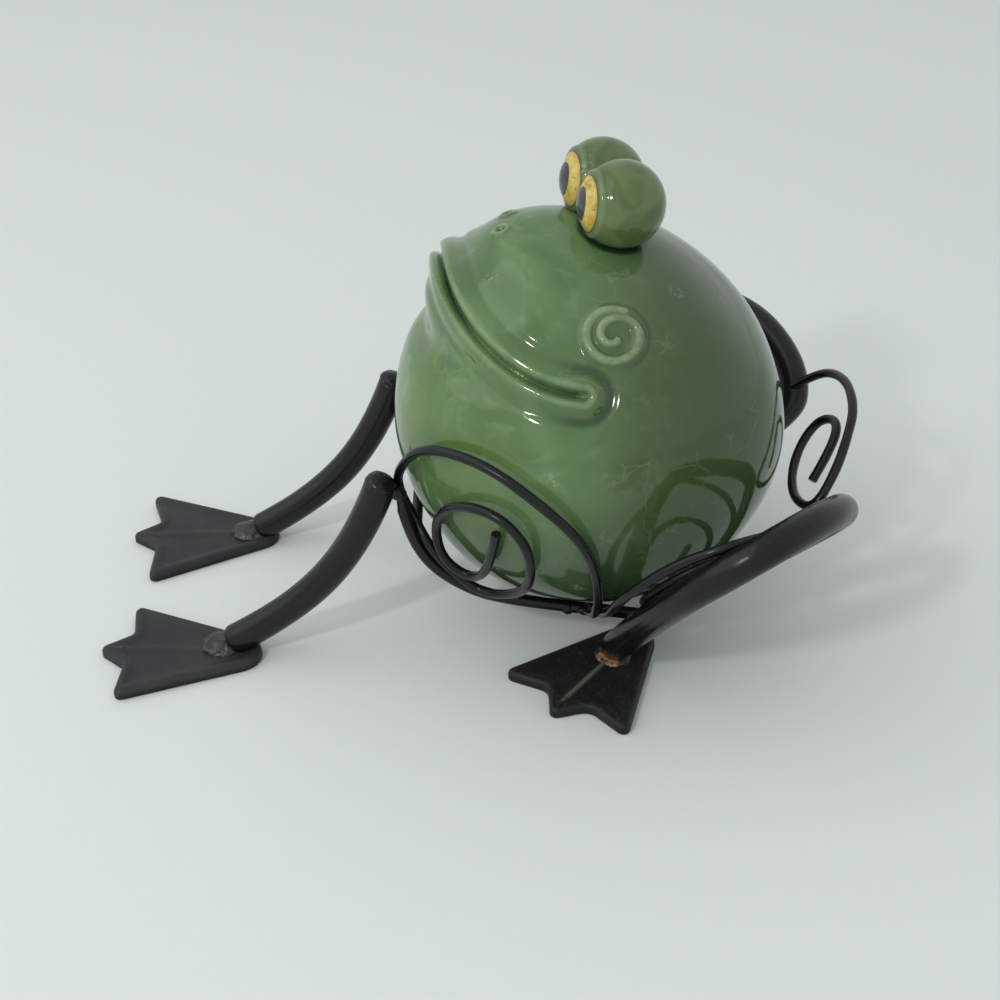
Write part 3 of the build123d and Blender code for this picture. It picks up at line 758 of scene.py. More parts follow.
steel = {
    "black": srgb(13, 15, 17),
    "brownBlack": srgb(22, 22, 22),
    "weldDust": srgb(54, 52, 50),
    "dust": srgb(96, 96, 92),
    "fold": srgb(136, 130, 120),
    "rust": srgb(152, 112, 68),
    "redRust": srgb(106, 74, 46),
}
frontAnkles = ((33, -82, 3), (-33, -82, 3))
rustyAnkles = ((41.5, 43.5, 3), (-41.5, 43.5, 3))
tubePaint = {
    "shader": {"IOR": 1.5, "Specular IOR Level": 0.35},
    "worn": {"start": 0.42, "end": 0.7, "size": 12, "detail": 5, "warp": 0.8},
    "wornShare": 0.6,
    "topRange": (0.2, 0.95),
    "specks": {"start": 0.5, "end": 0.72, "size": 1.6, "detail": 5, "warp": 0.5, "shift": 0.2},
    "speckShare": 0.07,
    "chipCells": {"size": 6, "warp": 3, "warpReach": 2},
    "chipRange": (0.09, 0.05),
    "chips": {"start": 0.58, "end": 0.66, "size": 15, "detail": 2, "shift": 0.6},
    "chipShare": 0.3,
    "roughness": 0.25,
    "shine": {"size": 8, "detail": 4, "warp": 0.5, "shift": 0.9},
    "shineSpread": 0.3,
    "grain": 3.2,
    "fineGrain": 0.8,
    "fineShare": 0.25,
    "bump": {"depth": 0.1, "strength": 0.6},
}
platePaint = {
    "shader": {"IOR": 1.5, "Specular IOR Level": 0.3},
    "soft": {"start": 0.35, "end": 0.7, "size": 14, "detail": 5, "warp": 0.6},
    "softShare": 0.6,
    "specks": {"start": 0.56, "end": 0.72, "size": 0.9, "detail": 4, "warp": 0.3, "shift": 0.3},
    "topRange": (0.75, 0.98),
    # metres above the ground, where the plate's side is painted blackest as painted shade
    "shadedSideRange": (0.0026, 0.0012),
    "shadedSideShare": 0.75,
    "ankleReach": 5,
    "ankleFade": 12,
    "ankleShare": 0.45,
    "roughness": 0.5,
    "shine": {"size": 7, "detail": 4, "warp": 0.5, "shift": 0.9},
    "shineSpread": 0.3,
    "grain": 5,
    "fineGrain": 0.7,
    "fineShare": 0.25,
    "bump": {"depth": 0.25, "strength": 0.6},
}
frontPlate = {"base": srgb(42, 47, 48), "dusty": srgb(54, 57, 56), "speckShare": 0.12, "foldShare": 0.25}
rearPlate = {"base": srgb(28, 28, 28), "dusty": srgb(38, 38, 37), "speckShare": 0.35, "foldShare": 0.65}
weldLook = {
    "shader": {"IOR": 1.5, "Specular IOR Level": 0.6},
    "worn": {"start": 0.35, "end": 0.7, "size": 3, "detail": 5, "warp": 1},
    "bright": {"start": 0.6, "end": 0.74, "size": 1.4, "detail": 4, "warp": 1, "shift": 0.4},
    "brightShare": 0.2,
    "rustReach": 3.3,
    "rustFade": 1.4,
    "rust": {"start": 0.34, "end": 0.5, "size": 2.6, "detail": 4, "warp": 1.5, "shift": 0.7},
    "redRust": {"start": 0.56, "end": 0.66, "size": 2.2, "warp": 1, "shift": 0.2},
    "roughness": 0.38,
    "shine": {"size": 2, "warp": 0.5, "shift": 0.9},
    "shineSpread": 0.4,
    "grain": 1.2,
    "fineGrain": None,
    "bump": {"depth": 0.3, "strength": 0.7},
}


def roughen(finish, look):
    # uneven shine and a fine grain
    shine = finish.cloud(**look["shine"]) - noiseMiddle
    finish.paint("Roughness", look["roughness"] + shine * look["shineSpread"])
    grain = finish.cloud(look["grain"])
    if look["fineGrain"]:
        grain = grain + finish.cloud(look["fineGrain"]) * look["fineShare"]
    finish.bump(grain, **look["bump"])


def blackPaint():
    finish = Finish("blackPaint", tubePaint["shader"])
    worn = finish.patches(**tubePaint["worn"]) * tubePaint["wornShare"]
    colour = finish.mix(worn, steel["black"], steel["brownBlack"])
    top = finish.ease(finish.upward(), *tubePaint["topRange"])
    specks = finish.patches(**tubePaint["specks"])
    colour = finish.mix(top * specks * tubePaint["speckShare"], colour, steel["dust"])
    chips = finish.ease(finish.cells(**tubePaint["chipCells"]), *tubePaint["chipRange"])
    chips = chips * finish.patches(**tubePaint["chips"])
    colour = finish.mix(chips * tubePaint["chipShare"], colour, steel["dust"])
    finish.paint("Base Color", colour)
    roughen(finish, tubePaint)
    return finish


def footPaint(name, plate):
    finish = Finish(name, platePaint["shader"])
    soft = finish.patches(**platePaint["soft"]) * platePaint["softShare"]
    colour = finish.mix(soft, plate["base"], plate["dusty"])
    top = finish.ease(finish.upward(), *platePaint["topRange"])
    specks = finish.patches(**platePaint["specks"]) * top
    colour = finish.mix(specks * plate["speckShare"], colour, steel["dust"])
    # painted shade: the low part of the plate's side is painted black
    low = finish.ease(finish.along("Z"), *platePaint["shadedSideRange"])
    colour = finish.mix(low * platePaint["shadedSideShare"], colour, steel["black"])
    for ankle in frontAnkles:
        dusty = finish.near(ankle, platePaint["ankleReach"], platePaint["ankleFade"])
        colour = finish.mix(dusty * platePaint["ankleShare"], colour, steel["weldDust"])
    colour = finish.mix(finish.mark("fold") * plate["foldShare"], colour, steel["fold"])
    finish.paint("Base Color", colour)
    roughen(finish, platePaint)
    return finish


def weldPaint():
    finish = Finish("weldMetal", weldLook["shader"])
    colour = finish.mix(finish.patches(**weldLook["worn"]), steel["brownBlack"], steel["weldDust"])
    colour = finish.mix(finish.patches(**weldLook["bright"]) * weldLook["brightShare"], colour, steel["dust"])
    for ankle in rustyAnkles:
        rusty = finish.near(ankle, weldLook["rustReach"], weldLook["rustFade"])
        rusty = rusty * finish.patches(**weldLook["rust"])
        colour = finish.mix(rusty, colour, steel["rust"])
        colour = finish.mix(rusty * finish.patches(**weldLook["redRust"]), colour, steel["redRust"])
    finish.paint("Base Color", colour)
    roughen(finish, weldLook)
    return finish


print("finishes")
greenFinish = greenGlaze()
eyeFinish = eyeGlaze()
blackFinish = blackPaint()
frontFootFinish = footPaint("frontFootPaint", frontPlate)
rearFootFinish = footPaint("rearFootPaint", rearPlate)
weldFinish = weldPaint()
# the CAD nodes keep their shape, and those that still show are black steel
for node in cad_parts.values():
    for slot in node.material_slots:
        slot.material = blackFinish.material

print("ball and eyes")
addPiece("clayBall", shapeBall(), greenFinish, ["body_shell"])
addPiece("eyeBallLeft", shapeEye(1), eyeFinish, ["eye_left"])
addPiece("eyeBallRight", shapeEye(-1), eyeFinish, ["eye_right"])


def ground(forward, outward, height=0):
    # a place given from below the ball's centre
    return np.array([outward, ballCentre[1] - forward, height])


def otherSide(shape):
    # a shape's mirror image on the frog's other side
    points, faces, *marks = shape
    return points * [-1, 1, 1], [face[::-1] for face in faces], *marks


def joined(*shapes):
    # several shapes as one, none of them with marks
    points = []
    faces = []
    for shapePoints, shapeFaces in shapes:
        start = sum(len(part) for part in points)
        points.append(shapePoints)
        faces.extend([index + start for index in face] for face in shapeFaces)
    return np.concatenate(points), faces


def addPair(name, shape, nodes):
    # a black steel piece on the frog's left and its mirror image on the right
    for word, sided in (("Left", shape), ("Right", otherSide(shape))):
        replaced = [node + "_" + word.lower() for node in nodes]
        addPiece(name + word, sided, blackFinish, replaced)


def softPath(corners, steps):
    # the spline that touches the middle of each run between its corners
    corners = np.asarray(corners, dtype=float)
    middles = (corners[:-1] + corners[1:]) / 2
    middles[0] = corners[0]
    middles[-1] = corners[-1]
    path = [corners[0]]
    for start, corner, end in zip(middles, corners[1:-1], middles[1:]):
        for share in np.linspace(0, 1, steps + 1)[1:]:
            path.append((1 - share) ** 2 * start + 2 * share * (1 - share) * corner + share**2 * end)
    return np.array(path)


# how far along from each kind of end, and how thick there, in shares of the radius
rodEnds = {
    "cut": ((0.0, 0.62), (0.0, 0.84), (0.1, 0.96), (0.25, 1.0)),
    "round": ((0.0, 0.2), (0.1, 0.55), (0.32, 0.83), (0.7, 0.98)),
    "pinched": ((0.0, 0.3), (0.25, 0.6), (1.0, 0.72), (2.4, 0.86)),
}


# a rod's unevenness: pace along it, waves round it and share
rodWaves = ((0.9, 0, 0.5), (0.47, 2, 0.6))
# any direction that no rod starts along
anySide = (0.31, 0.17, 0.94)


def rod(corners, radius, sides, waver, ends=("cut", "cut"), steps=9):
    # round stock along a soft path, a little uneven, with closed ends
    path = softPath(corners, steps)
    run = np.concatenate([[0], np.cumsum(np.linalg.norm(np.diff(path, axis=0), axis=1))])
    places = run
    sizes = np.ones(len(run))
    for end, atStart in zip(ends, (True, False)):
        profile = rodEnds[end]
        reach = profile[-1][0] * radius
        inner = (places > reach) if atStart else (places < run[-1] - reach)
        places = places[inner]
        sizes = sizes[inner]
        near = np.array([reachShare * radius for reachShare, _ in profile])
        shares = np.array([share for _, share in profile])
        if atStart:
            places = np.concatenate([near, places])
            sizes = np.concatenate([shares, sizes])
        else:
            places = np.concatenate([places, run[-1] - near[::-1]])
            sizes = np.concatenate([sizes, shares[::-1]])
    spine = np.stack([np.interp(places, run, path[:, axis]) for axis in range(3)], axis=1)
    direction = unit(np.gradient(path, axis=0))
    along = unit(np.stack([np.interp(places, run, direction[:, axis]) for axis in range(3)], axis=1))
    across = np.empty_like(along)
    across[0] = unit(np.cross(along[0], anySide))
    for index in range(1, len(along)):
        across[index] = unit(across[index - 1] - along[index] * (across[index - 1] @ along[index]))
    other = np.cross(along, across)
    turn = np.linspace(0, 2 * np.pi, sides, endpoint=False)
    reach = np.ones((len(places), sides))
    for pace, waves, share in rodWaves:
        reach = reach + waver * share * np.sin(places[:, None] / radius * pace + waves * turn)
    reach = reach * radius * sizes[:, None]
    rings = spine[:, None, :] + across[:, None, :] * (np.cos(turn) * reach)[..., None]
    rings = rings + other[:, None, :] * (np.sin(turn) * reach)[..., None]
    points = np.concatenate([rings.reshape(-1, 3), spine[:1], spine[-1:]])
    faces = []
    last = (len(places) - 1) * sides
    for index in range(sides):
        following = (index + 1) % sides
        for low in range(0, last, sides):
            faces.append([low + index, low + following, low + sides + following, low + sides + index])
        faces.append([len(points) - 2, following, index])
        faces.append([len(points) - 1, last + index, last + following])
    return points, faces


# the finer wrinkles of weld metal, as shares of the coarse ones
wrinkleShare = 0.45
wrinklePace = 2.3


def lump(centre, along, sizes, lumpSize, lumpHeight, divisions, lowest=None):
    # a mound of weld metal, longer along one way, with a wrinkled skin
    along = unit(along)
    across = unit(np.cross([0, 0, 1], along))
    upward = np.cross(along, across)
    directions, faces = ballGrid(divisions, (0, 0, 1), 0)
    points = (directions * sizes) @ np.array([along, across, upward])
    for index, point in enumerate(points):
        spot = Vector((point + centre) / lumpSize)
        rough = noise.noise(spot) + wrinkleShare * noise.noise(spot * wrinklePace)
        points[index] = point + unit(point) * rough * lumpHeight
    points = points + centre
    if lowest is not None:
        points[:, 2] = np.maximum(points[:, 2], lowest)
    return points, faces


foot = {
    "length": 53,
    "toeProud": 0.8,
    "notchBack": 9.4,
    "notchOffset": 7.8,
    "heelRadius": 8.1,
    "toeRadius": 2.2,
    "plate": 3.0,
    "rimHeight": 0.75,
    "rimMiddle": 2.3,
    "rimHalfWidth": 2.2,
    "edgeRound": 1.7,
    # the raised crease from the heel to the middle toe, and the bright fold on it
    "creaseStart": 12,
    "creaseFade": 6,
    "creaseEdge": (1.5, 4.5),
    "creaseHeight": 0.75,
    "creaseHalfWidth": 1.0,
    "foldHalfWidth": 0.3,
    "waveHeight": 0.12,
    "waveLengths": (4.1, 5.3),
    "waveEdge": (1, 5),
    # the mesh: distance between points, rows inside the outline and height and inset below it
    "grain": 1.15,
    "outlineShare": 0.7,
    "rows": (0.12, 0.35, 0.7, 1.1, 1.5, 1.9, 2.4, 3.0, 3.7, 4.6),
    "rowShare": 0.93,
    "gridStart": -0.5,
    "gridInset": 5.2,
    "lowerRows": ((0.45, 0.0), (0.0, 0.4)),
    "closeness": 1e-5,
}
leftFoot = {"heel": (106.7, 36), "turn": -1.4, "halfWidth": 23.4, "toeBacks": (9.4, 6.2), "notchRadius": 3}
rightFoot = {"heel": (109.9, -33.5), "turn": 2.6, "halfWidth": 27.3, "toeBacks": (9.5, 3), "notchRadius": 3}
rearFoot = {"heelLength": 17, "turn": 53, "halfWidth": 24.2, "toeBacks": (6, 6), "notchRadius": 4.5}


def roundedOutline(corners, radii, step):
    # close points on a closed outline whose corners are arcs
    path = []
    for index, corner in enumerate(corners):
        before = unit(corners[index - 1] - corner)
        after = unit(corners[(index + 1) % len(corners)] - corner)
        half = np.arccos(before @ after) / 2
        middle = corner + unit(before + after) * radii[index] / np.sin(half)
        first = corner + before * radii[index] / np.tan(half) - middle
        final = corner + after * radii[index] / np.tan(half) - middle
        swept = np.pi - 2 * half
        for share in np.linspace(0, 1, max(int(swept * radii[index] / step), 3) + 1):
            weights = np.sin((1 - share) * swept), np.sin(share * swept)
            path.append(middle + (weights[0] * first + weights[1] * final) / np.sin(swept))
    outline = []
    for start, end in zip(path, path[1:] + path[:1]):
        count = max(int(np.linalg.norm(end - start) / step + 0.5), 1)
        outline.extend(start + (end - start) * share for share in np.arange(count) / count)
    return np.array(outline)


def fromOutline(points, outline):
    # how far inside a closed outline each point is, below 0 outside
    ends = np.roll(outline, -1, axis=0)
    run = ends - outline
    offset = points[:, None] - outline[None]
    share = np.clip((offset * run).sum(axis=-1) / (run**2).sum(axis=-1), 0, 1)
    away = np.linalg.norm(offset - share[..., None] * run, axis=-1).min(axis=1)
    height = points[:, None, 1]
    crosses = (outline[:, 1] > height) != (ends[:, 1] > height)
    slope = np.where(crosses, ends[:, 1] - outline[:, 1], 1)
    meets = outline[:, 0] + (height - outline[:, 1]) / slope * run[:, 0]
    inside = (crosses & (points[:, None, 0] < meets)).sum(axis=1) % 2 == 1
    return np.where(inside, away, -away)


def footOutline(spread):
    # the outline of a foot with its heel at the origin and its middle toe ahead, as close points
    heelRadius = foot["heelRadius"]
    tips = []
    flanks = []
    for side, back in zip((1, -1), spread["toeBacks"]):
        tip = np.array([foot["length"] - back, side * spread["halfWidth"]])
        toHeel = tip - [heelRadius, 0]
        flank = np.arctan2(abs(toHeel[1]), toHeel[0]) - np.arcsin(heelRadius / np.linalg.norm(toHeel))
        tips.append(tip)
        flanks.append(np.array([np.cos(flank), side * np.sin(flank)]))
    # the lines of the two flanks meet behind the heel
    reach = np.linalg.solve(np.column_stack([flanks[0], -flanks[1]]), tips[0] - tips[1])[0]
    heel = tips[0] - flanks[0] * reach
    notch = np.array([foot["length"] - foot["notchBack"], foot["notchOffset"]])
    toe = np.array([foot["length"] + foot["toeProud"], 0])
    corners = [heel, tips[1], notch * [1, -1], toe, notch, tips[0]]
    toeRadius = foot["toeRadius"]
    notchRadius = spread["notchRadius"]
    radii = [heelRadius, toeRadius, notchRadius, toeRadius, notchRadius, toeRadius]
    return roundedOutline(corners, radii, foot["grain"] * foot["outlineShare"])


def footHeight(top, away):
    # the plate's height at points that are some way inside its outline, and its fold's mark
    edge = foot["edgeRound"]
    rimMiddle = foot["rimMiddle"]
    drop = edge - np.sqrt(np.maximum(edge**2 - np.maximum(edge - away, 0) ** 2, 0))
    rim = np.where(away < rimMiddle, 1, hump(away, rimMiddle, foot["rimHalfWidth"]))
    height = foot["plate"] + foot["rimHeight"] * rim - drop
    along = ease(foot["creaseStart"], foot["creaseStart"] + foot["creaseFade"], top[:, 0])
    along = along * ease(*foot["creaseEdge"], away)
    height = height + foot["creaseHeight"] * bell(top[:, 1], foot["creaseHalfWidth"]) * along
    lengthwise, sideways = foot["waveLengths"]
    wave = np.sin(top[:, 0] / lengthwise + 1) * np.sin(top[:, 1] / sideways)
    height = height + foot["waveHeight"] * wave * ease(*foot["waveEdge"], away)
    return height, bell(top[:, 1], foot["foldHalfWidth"]) * along


def shapeFoot(spread):
    # a stamped plate with a rolled edge and three webbed toes, flat on the ground
    outline = footOutline(spread)
    tangent = unit(np.roll(outline, -1, axis=0) - np.roll(outline, 1, axis=0))
    inward = np.stack([-tangent[:, 1], tangent[:, 0]], axis=1)
    flat = [outline]
    for depth in foot["rows"]:
        row = outline + inward * depth
        flat.append(row[fromOutline(row, outline) > depth * foot["rowShare"]])
    steps = np.arange(foot["gridStart"], foot["length"] + 1, foot["grain"])
    sideSteps = np.arange(-spread["halfWidth"], spread["halfWidth"], foot["grain"])
    grid = np.stack(np.meshgrid(steps, sideSteps), axis=-1).reshape(-1, 2)
    flat.append(grid[fromOutline(grid, outline) > foot["gridInset"]])
    loop = [(index, (index + 1) % len(outline)) for index in range(len(outline))]
    spots = [Vector(spot) for spot in np.concatenate(flat)]
    result = delaunay_2d_cdt(spots, loop, [], 1, foot["closeness"])
    top = np.array([list(spot) for spot in result[0]])
    height, fold = footHeight(top, np.maximum(fromOutline(top, outline), 0))
    points = [np.column_stack([top, height])]
    faces = [list(face) for face in result[2]]
    placeOf = {}
    for index, originals in enumerate(result[3]):
        for original in originals:
            placeOf.setdefault(original, index)
    ring = [placeOf[index] for index in range(len(outline))]
    for level, inset in foot["lowerRows"]:
        start = sum(len(part) for part in points)
        points.append(np.column_stack([outline + inward * inset, np.full(len(outline), level)]))
        following = list(range(start, start + len(outline)))
        for index in range(len(outline)):
            after = (index + 1) % len(outline)
            faces.append([following[index], following[after], ring[after], ring[index]])
        ring = following
    faces.append(ring[::-1])
    points = np.concatenate(points)
    return points, faces, {"fold": np.concatenate([fold, np.zeros(len(points) - len(fold))])}


def toeDirection(turn):
    turn = np.radians(turn)
    return np.array([np.sin(turn), -np.cos(turn), 0])


def placed(shape, heel, turn):
    # a foot's shape set down with its heel on a spot, its toes turned to the left
    points, faces, marks = shape
    toeLine = toeDirection(turn)
    basis = np.array([toeLine, np.cross([0, 0, 1], toeLine), [0, 0, 1]])
    return points @ basis + heel, faces, marks


frontLeg = {
    "spread": 33,
    "top": (65.2, 65.6),
    "bend": (79, 27.1),
    "ankle": (116.3, 5),
    "bendSoftness": 18.5,
    "tube": {"radius": 5, "sides": 36, "steps": 14, "waver": 0.012},
}
# the domed cap on the front leg's end and the bead of weld beside it
cap = {
    "lift": 0.2,
    "mound": {
        "along": (0, -1, 0.35),
        "sizes": (4.95, 4.95, 2.8),
        "lumpSize": 3.4,
        "lumpHeight": 0.35,
        "divisions": 30,
    },
    "beadOffset": (0, 4.6, -3.2),
    "bead": {
        "along": (0, 1, -0.4),
        "sizes": (3.4, 2.6, 2.2),
        "lumpSize": 2.2,
        "lumpHeight": 0.3,
        "divisions": 20,
    },
}
rearLeg = {
    "ankle": (-8.69, 37.2, 5.6),
    "hip": (-18.5, 33, 15.5),
    "tube": {"radius": 5, "ends": ("cut", "pinched"), "sides": 36, "steps": 16, "waver": 0.014},
    "archOutward": (-0.472, 0.574, -0.670),
    "archAlong": (-0.678, 0.250, 0.692),
    "bends": (
        (0.13, 0.64, 1.088),
        (0.785, 0.705, 1.075),
        (0.96, 0.27, 1.064),
        (0.87, -0.19, 1.074),
        (0.625, -0.36, 1.090),
    ),
}
# each weld's mound: height and place ahead of the ankle, and shape
frontWeld = {
    "height": 2.9,
    "ahead": 3.4,
    "mound": {"sizes": (7.4, 6.4, 3.4), "lumpSize": 2.6, "lumpHeight": 0.5, "divisions": 30},
}
rearWeld = {
    "height": 2.8,
    "ahead": 1.6,
    "mound": {"sizes": (5.6, 6.0, 2.0), "lumpSize": 2.2, "lumpHeight": 0.5, "divisions": 30},
}
weldLowest = 2
wire = {"radius": 1.5, "sides": 18, "waver": 0.03}
rearScroll = {
    "bends": (
        (-0.464, 0.128, 0.955),
        (-0.150, 0.53, 0.980),
        (0.12, 0.71, 0.945),
        (0.43, 0.72, 0.936),
        (0.70, 0.66, 0.984),
        (0.785, 0.385, 1.032),
        (0.67, 0.08, 1.043),
        (0.42, -0.11, 1.038),
        (0.16, -0.03, 1.030),
        (-0.04, 0.08, 1.030),
        (-0.10, 0.27, 1.027),
        (0.00, 0.45, 1.002),
        (0.255, 0.56, 0.990),
        (0.45, 0.48, 1.005),
        (0.465, 0.24, 1.030),
        (0.32, 0.09, 1.038),
        (0.16, 0.07, 1.037),
        (0.03, 0.15, 1.034),
        (0.085, 0.25, 1.037),
        (0.30, 0.27, 1.038),
    ),
}
rail = {
    "bar": {"radius": 2, "ends": ("pinched", "round"), "sides": 24, "steps": 12, "waver": 0.02},
    "start": (59.5, -11.98),
    "seamForward": 7,
    "bends": ((0.912, -0.488), (0.693, -0.736), (0.384, -0.856), (-0.368, -0.944)),
    # the collar of weld on the seam, which lies on the last run
    "collar": {"sizes": (2.6, 2.35, 2.35), "lumpSize": 1.8, "lumpHeight": 0.3, "divisions": 18},
}
frontScroll = {
    "start": (1.5, 33.3, -55),
    "beadOffset": (0.6, 0, -0.9),
    "bead": {"sizes": (3.0, 2.0, 1.7), "lumpSize": 1.5, "lumpHeight": 0.35, "divisions": 16},
    "bends": (
        (-0.016, 0.768, -0.800),
        (-0.008, 0.976, -0.416),
        (0.072, 1.056, -0.136),
        (0.256, 1.056, 0.064),
        (0.544, 0.912, 0.224),
        (0.832, 0.672, 0.168),
        (0.960, 0.496, -0.072),
        (0.965, 0.440, -0.224),
        (0.890, 0.472, -0.368),
        (0.808, 0.581, -0.480),
        (0.688, 0.560, -0.656),
        (0.544, 0.584, -0.760),
        (0.376, 0.744, -0.648),
        (0.312, 0.928, -0.440),
        (0.328, 1.016, -0.176),
        (0.480, 0.960, -0.024),
        (0.688, 0.800, -0.072),
        (0.784, 0.640, -0.280),
        (0.755, 0.620, -0.515),
        (0.605, 0.625, -0.640),
        (0.512, 0.816, -0.448),
        (0.480, 0.928, -0.160),
    ),
}
tailScroll = {
    "lean": 50.5,
    "touch": 0.3,
    "bends": (
        (-0.600, 0.532),
        (-0.528, 0.752),
        (-0.272, 0.888),
        (0.032, 0.872),
        (0.208, 0.776),
        (0.380, 0.650),
        (0.516, 0.465),
        (0.320, 0.376),
        (0.112, 0.400),
        (-0.064, 0.512),
        (-0.120, 0.664),
        (0.016, 0.760),
        (0.176, 0.688),
        (0.298, 0.506),
    ),
}


def archPoint(along, across, out):
    # a point by its places along, across and out from the arch of the left rear leg
    outward = unit(rearLeg["archOutward"])
    alongArch = np.array(rearLeg["archAlong"])
    alongArch = unit(alongArch - outward * (alongArch @ outward))
    spot = alongArch * along + np.cross(outward, alongArch) * across + outward * out
    return fromBall(*(spot * ballRadius))


def tailPoint(leftShare, upShare):
    # a point on the leaning plane behind the ball that the tail lies in
    back = ballRadius + tailScroll["touch"] + wire["radius"]
    lean = np.radians(tailScroll["lean"])
    up = upShare * ballRadius
    forward = -back * np.sin(lean) - up * np.cos(lean)
    return fromBall(forward, leftShare * ballRadius, up * np.sin(lean) - back * np.cos(lean))


def addLegs():
    spread = frontLeg["spread"]
    places = (frontLeg[key] for key in ("top", "bend", "ankle"))
    top, bend, ankle = (ground(ahead, spread, up) for ahead, up in places)
    softness = frontLeg["bendSoftness"]
    corners = [top, bend + unit(top - bend) * softness, bend + unit(ankle - bend) * softness, ankle]
    tube = rod(corners, **frontLeg["tube"])
    addPair("frontTube", tube, ["front_leg"])
    dome = lump(top + unit(top - bend) * cap["lift"], **cap["mound"])
    addPair("tubeCap", joined(dome, lump(top + cap["beadOffset"], **cap["bead"])), ["front_leg_cap"])
    ankle, hip = (ground(*rearLeg[key]) for key in ("ankle", "hip"))
    corners = [ankle, *(archPoint(*row) for row in rearLeg["bends"]), hip]
    tube = rod(corners, **rearLeg["tube"])
    addPair("rearTube", tube, ["rear_leg"])


def addFeet():
    left = placed(shapeFoot(leftFoot), ground(*leftFoot["heel"]), leftFoot["turn"])
    right = placed(shapeFoot(rightFoot), ground(*rightFoot["heel"]), rightFoot["turn"])
    addPiece("frontFootLeft", left, frontFootFinish, ["front_foot_left"])
    addPiece("frontFootRight", right, frontFootFinish, ["front_foot_right"])
    ankle = ground(*rearLeg["ankle"][:2])
    heel = ankle - toeDirection(rearFoot["turn"]) * rearFoot["heelLength"]
    rear = placed(shapeFoot(rearFoot), heel, rearFoot["turn"])
    addPiece("rearFootLeft", rear, rearFootFinish, ["rear_foot_left"])
    addPiece("rearFootRight", otherSide(rear), rearFootFinish, ["rear_foot_right"])


def footWeld(weld, forward, outward, turn):
    toes = toeDirection(turn)
    centre = ground(forward, outward, weld["height"]) + toes * weld["ahead"]
    return lump(centre, toes, **weld["mound"], lowest=weldLowest)


def addFootWelds():
    forward = frontLeg["ankle"][0]
    left = footWeld(frontWeld, forward, frontLeg["spread"], leftFoot["turn"])
    right = footWeld(frontWeld, forward, -frontLeg["spread"], rightFoot["turn"])
    addPiece("frontFootWelds", joined(left, right), weldFinish, ["front_foot_welds"])
    rear = footWeld(rearWeld, *rearLeg["ankle"][:2], rearFoot["turn"])
    addPiece("rearFootWelds", joined(rear, otherSide(rear)), weldFinish, ["rear_foot_welds"])


def addWires():
    spread = frontLeg["spread"]
    corners = [fromBall(rail["start"][0], spread, rail["start"][1])]
    corners += [fromBall(ahead * ballRadius, spread, up * ballRadius) for ahead, up in rail["bends"]]
    bar = rod(corners, **rail["bar"])
    runEnd, runStart = corners[-1], corners[-2]
    # how far up the last run the seam is, from the run's rear end
    seamShare = (ballCentre[1] - rail["seamForward"] - runEnd[1]) / (runStart[1] - runEnd[1])
    along = unit(runStart - runEnd)
    collar = lump(runEnd + (runStart - runEnd) * seamShare, along, **rail["collar"])
    addPair("rail", joined(bar, collar), ["front_rail", "rear_rail"])

    start = fromBall(*frontScroll["start"])
    corners = [start] + [fromBall(*(np.array(row) * ballRadius)) for row in frontScroll["bends"]]
    addPair("frontScroll", rod(corners, **wire), ["front_scroll"])
    addPair("rearScroll", rod([archPoint(*row) for row in rearScroll["bends"]], **wire), ["rear_scroll"])
    tail = rod([tailPoint(*row) for row in tailScroll["bends"]], **wire)
    addPiece("tailScroll", tail, blackFinish, ["tail_scroll"])
    bead = lump(start + frontScroll["beadOffset"], along, **frontScroll["bead"])
    addPiece("scrollWelds", joined(bead, otherSide(bead)), blackFinish, ["scroll_welds"])


print("legs, feet and wires")
addLegs()
addFeet()
addFootWelds()
addWires()

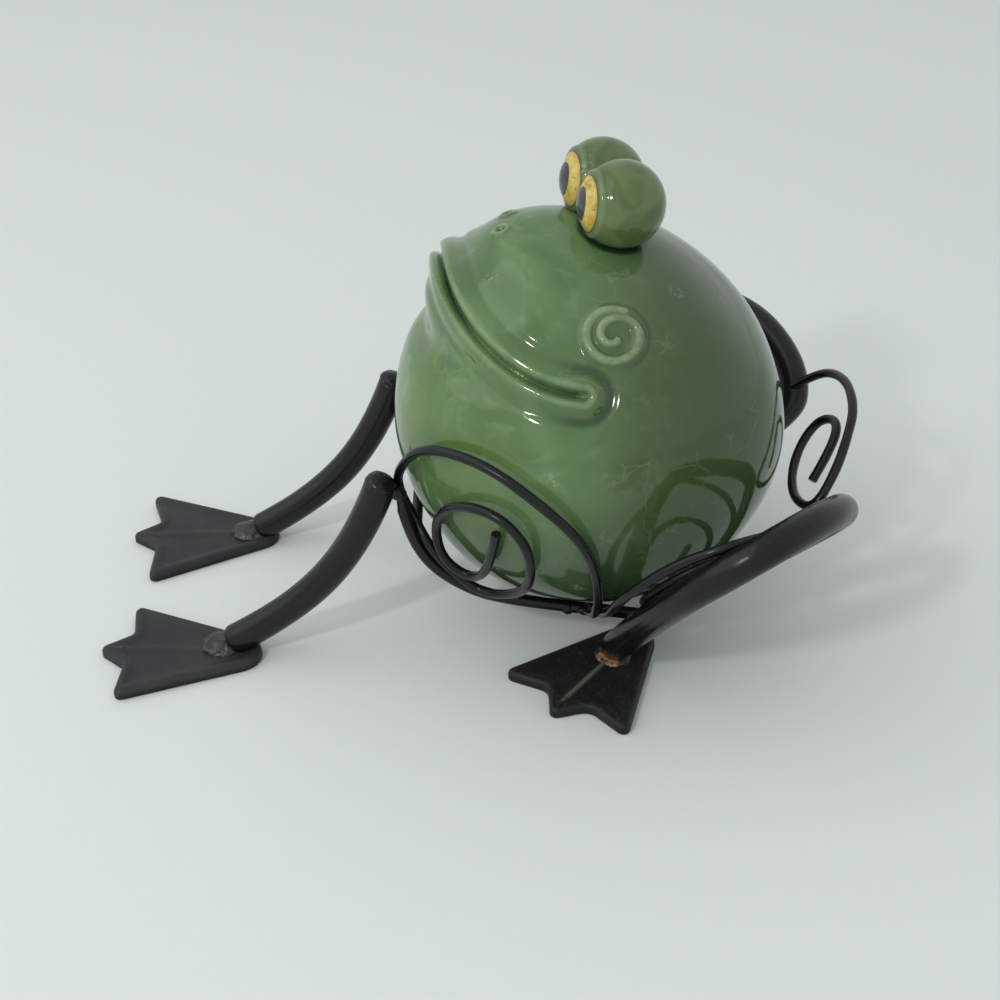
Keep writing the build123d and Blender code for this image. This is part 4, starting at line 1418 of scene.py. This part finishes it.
stand = {
    "floorHalf": 2,
    "floorColour": srgb(226, 231, 229),
    "grainColour": srgb(217, 222, 220),
    "shader": {"Roughness": 0.8},
    "grain": {"size": 5, "detail": 4},
    "grainShare": 0.25,
    "bump": {"depth": 0.4, "strength": 0.25},
    "sky": (0.93, 0.97, 0.965, 1),
    "skyStrength": 0.72,
}
softLamp = {"direction": (0.1, -0.75, 0.66), "distance": 1.3, "size": 1.5, "power": 3.6}
sparkLamp = {"direction": (0.65, -0.47, 0.59), "distance": 1.1, "size": 0.09, "power": 2.2}


def addFloor():
    finish = Finish("paleFloor", stand["shader"])
    grain = finish.cloud(**stand["grain"])
    colour = finish.mix(grain * stand["grainShare"], stand["floorColour"], stand["grainColour"])
    finish.paint("Base Color", colour)
    finish.bump(grain, **stand["bump"])
    half = stand["floorHalf"]
    corners = [(-half, -half, 0), (half, -half, 0), (half, half, 0), (-half, half, 0)]
    mesh = bpy.data.meshes.new("floor")
    mesh.from_pydata(corners, [], [(0, 1, 2, 3)])
    mesh.materials.append(finish.material)
    floor = bpy.data.objects.new("floor", mesh)
    bpy.context.scene.collection.objects.link(floor)


def addLamp(name, settings):
    target = Vector(ballCentre * mm)
    lamp = bpy.data.lights.new(name, "AREA")
    lamp.shape = "DISK"
    lamp.size = settings["size"]
    lamp.energy = settings["power"]
    lampObject = bpy.data.objects.new(name, lamp)
    lampObject.location = target + Vector(settings["direction"]).normalized() * settings["distance"]
    lampObject.rotation_euler = (lampObject.location - target).to_track_quat("Z", "Y").to_euler()
    bpy.context.scene.collection.objects.link(lampObject)


def addWorld():
    world = bpy.data.worlds.new("softRoom")
    world.use_nodes = True
    backdrop = world.node_tree.nodes["Background"]
    backdrop.inputs["Color"].default_value = stand["sky"]
    backdrop.inputs["Strength"].default_value = stand["skyStrength"]
    bpy.context.scene.world = world


view = {"place": (0.4061, 0.0089, 0.302), "pitch": 57, "heading": 90, "lens": 52.2, "sensor": 36}


def addCamera():
    camera = bpy.data.cameras.new("camera")
    camera.lens = view["lens"]
    camera.sensor_width = view["sensor"]
    cameraObject = bpy.data.objects.new("camera", camera)
    cameraObject.location = view["place"]
    cameraObject.rotation_euler = (np.radians(view["pitch"]), 0, np.radians(view["heading"]))
    bpy.context.scene.collection.objects.link(cameraObject)
    bpy.context.scene.camera = cameraObject


print("floor, lamps and camera")
addFloor()
addLamp("softLamp", softLamp)
addLamp("sparkLamp", sparkLamp)
addWorld()
addCamera()
bpy.context.scene.view_settings.view_transform = "Standard"
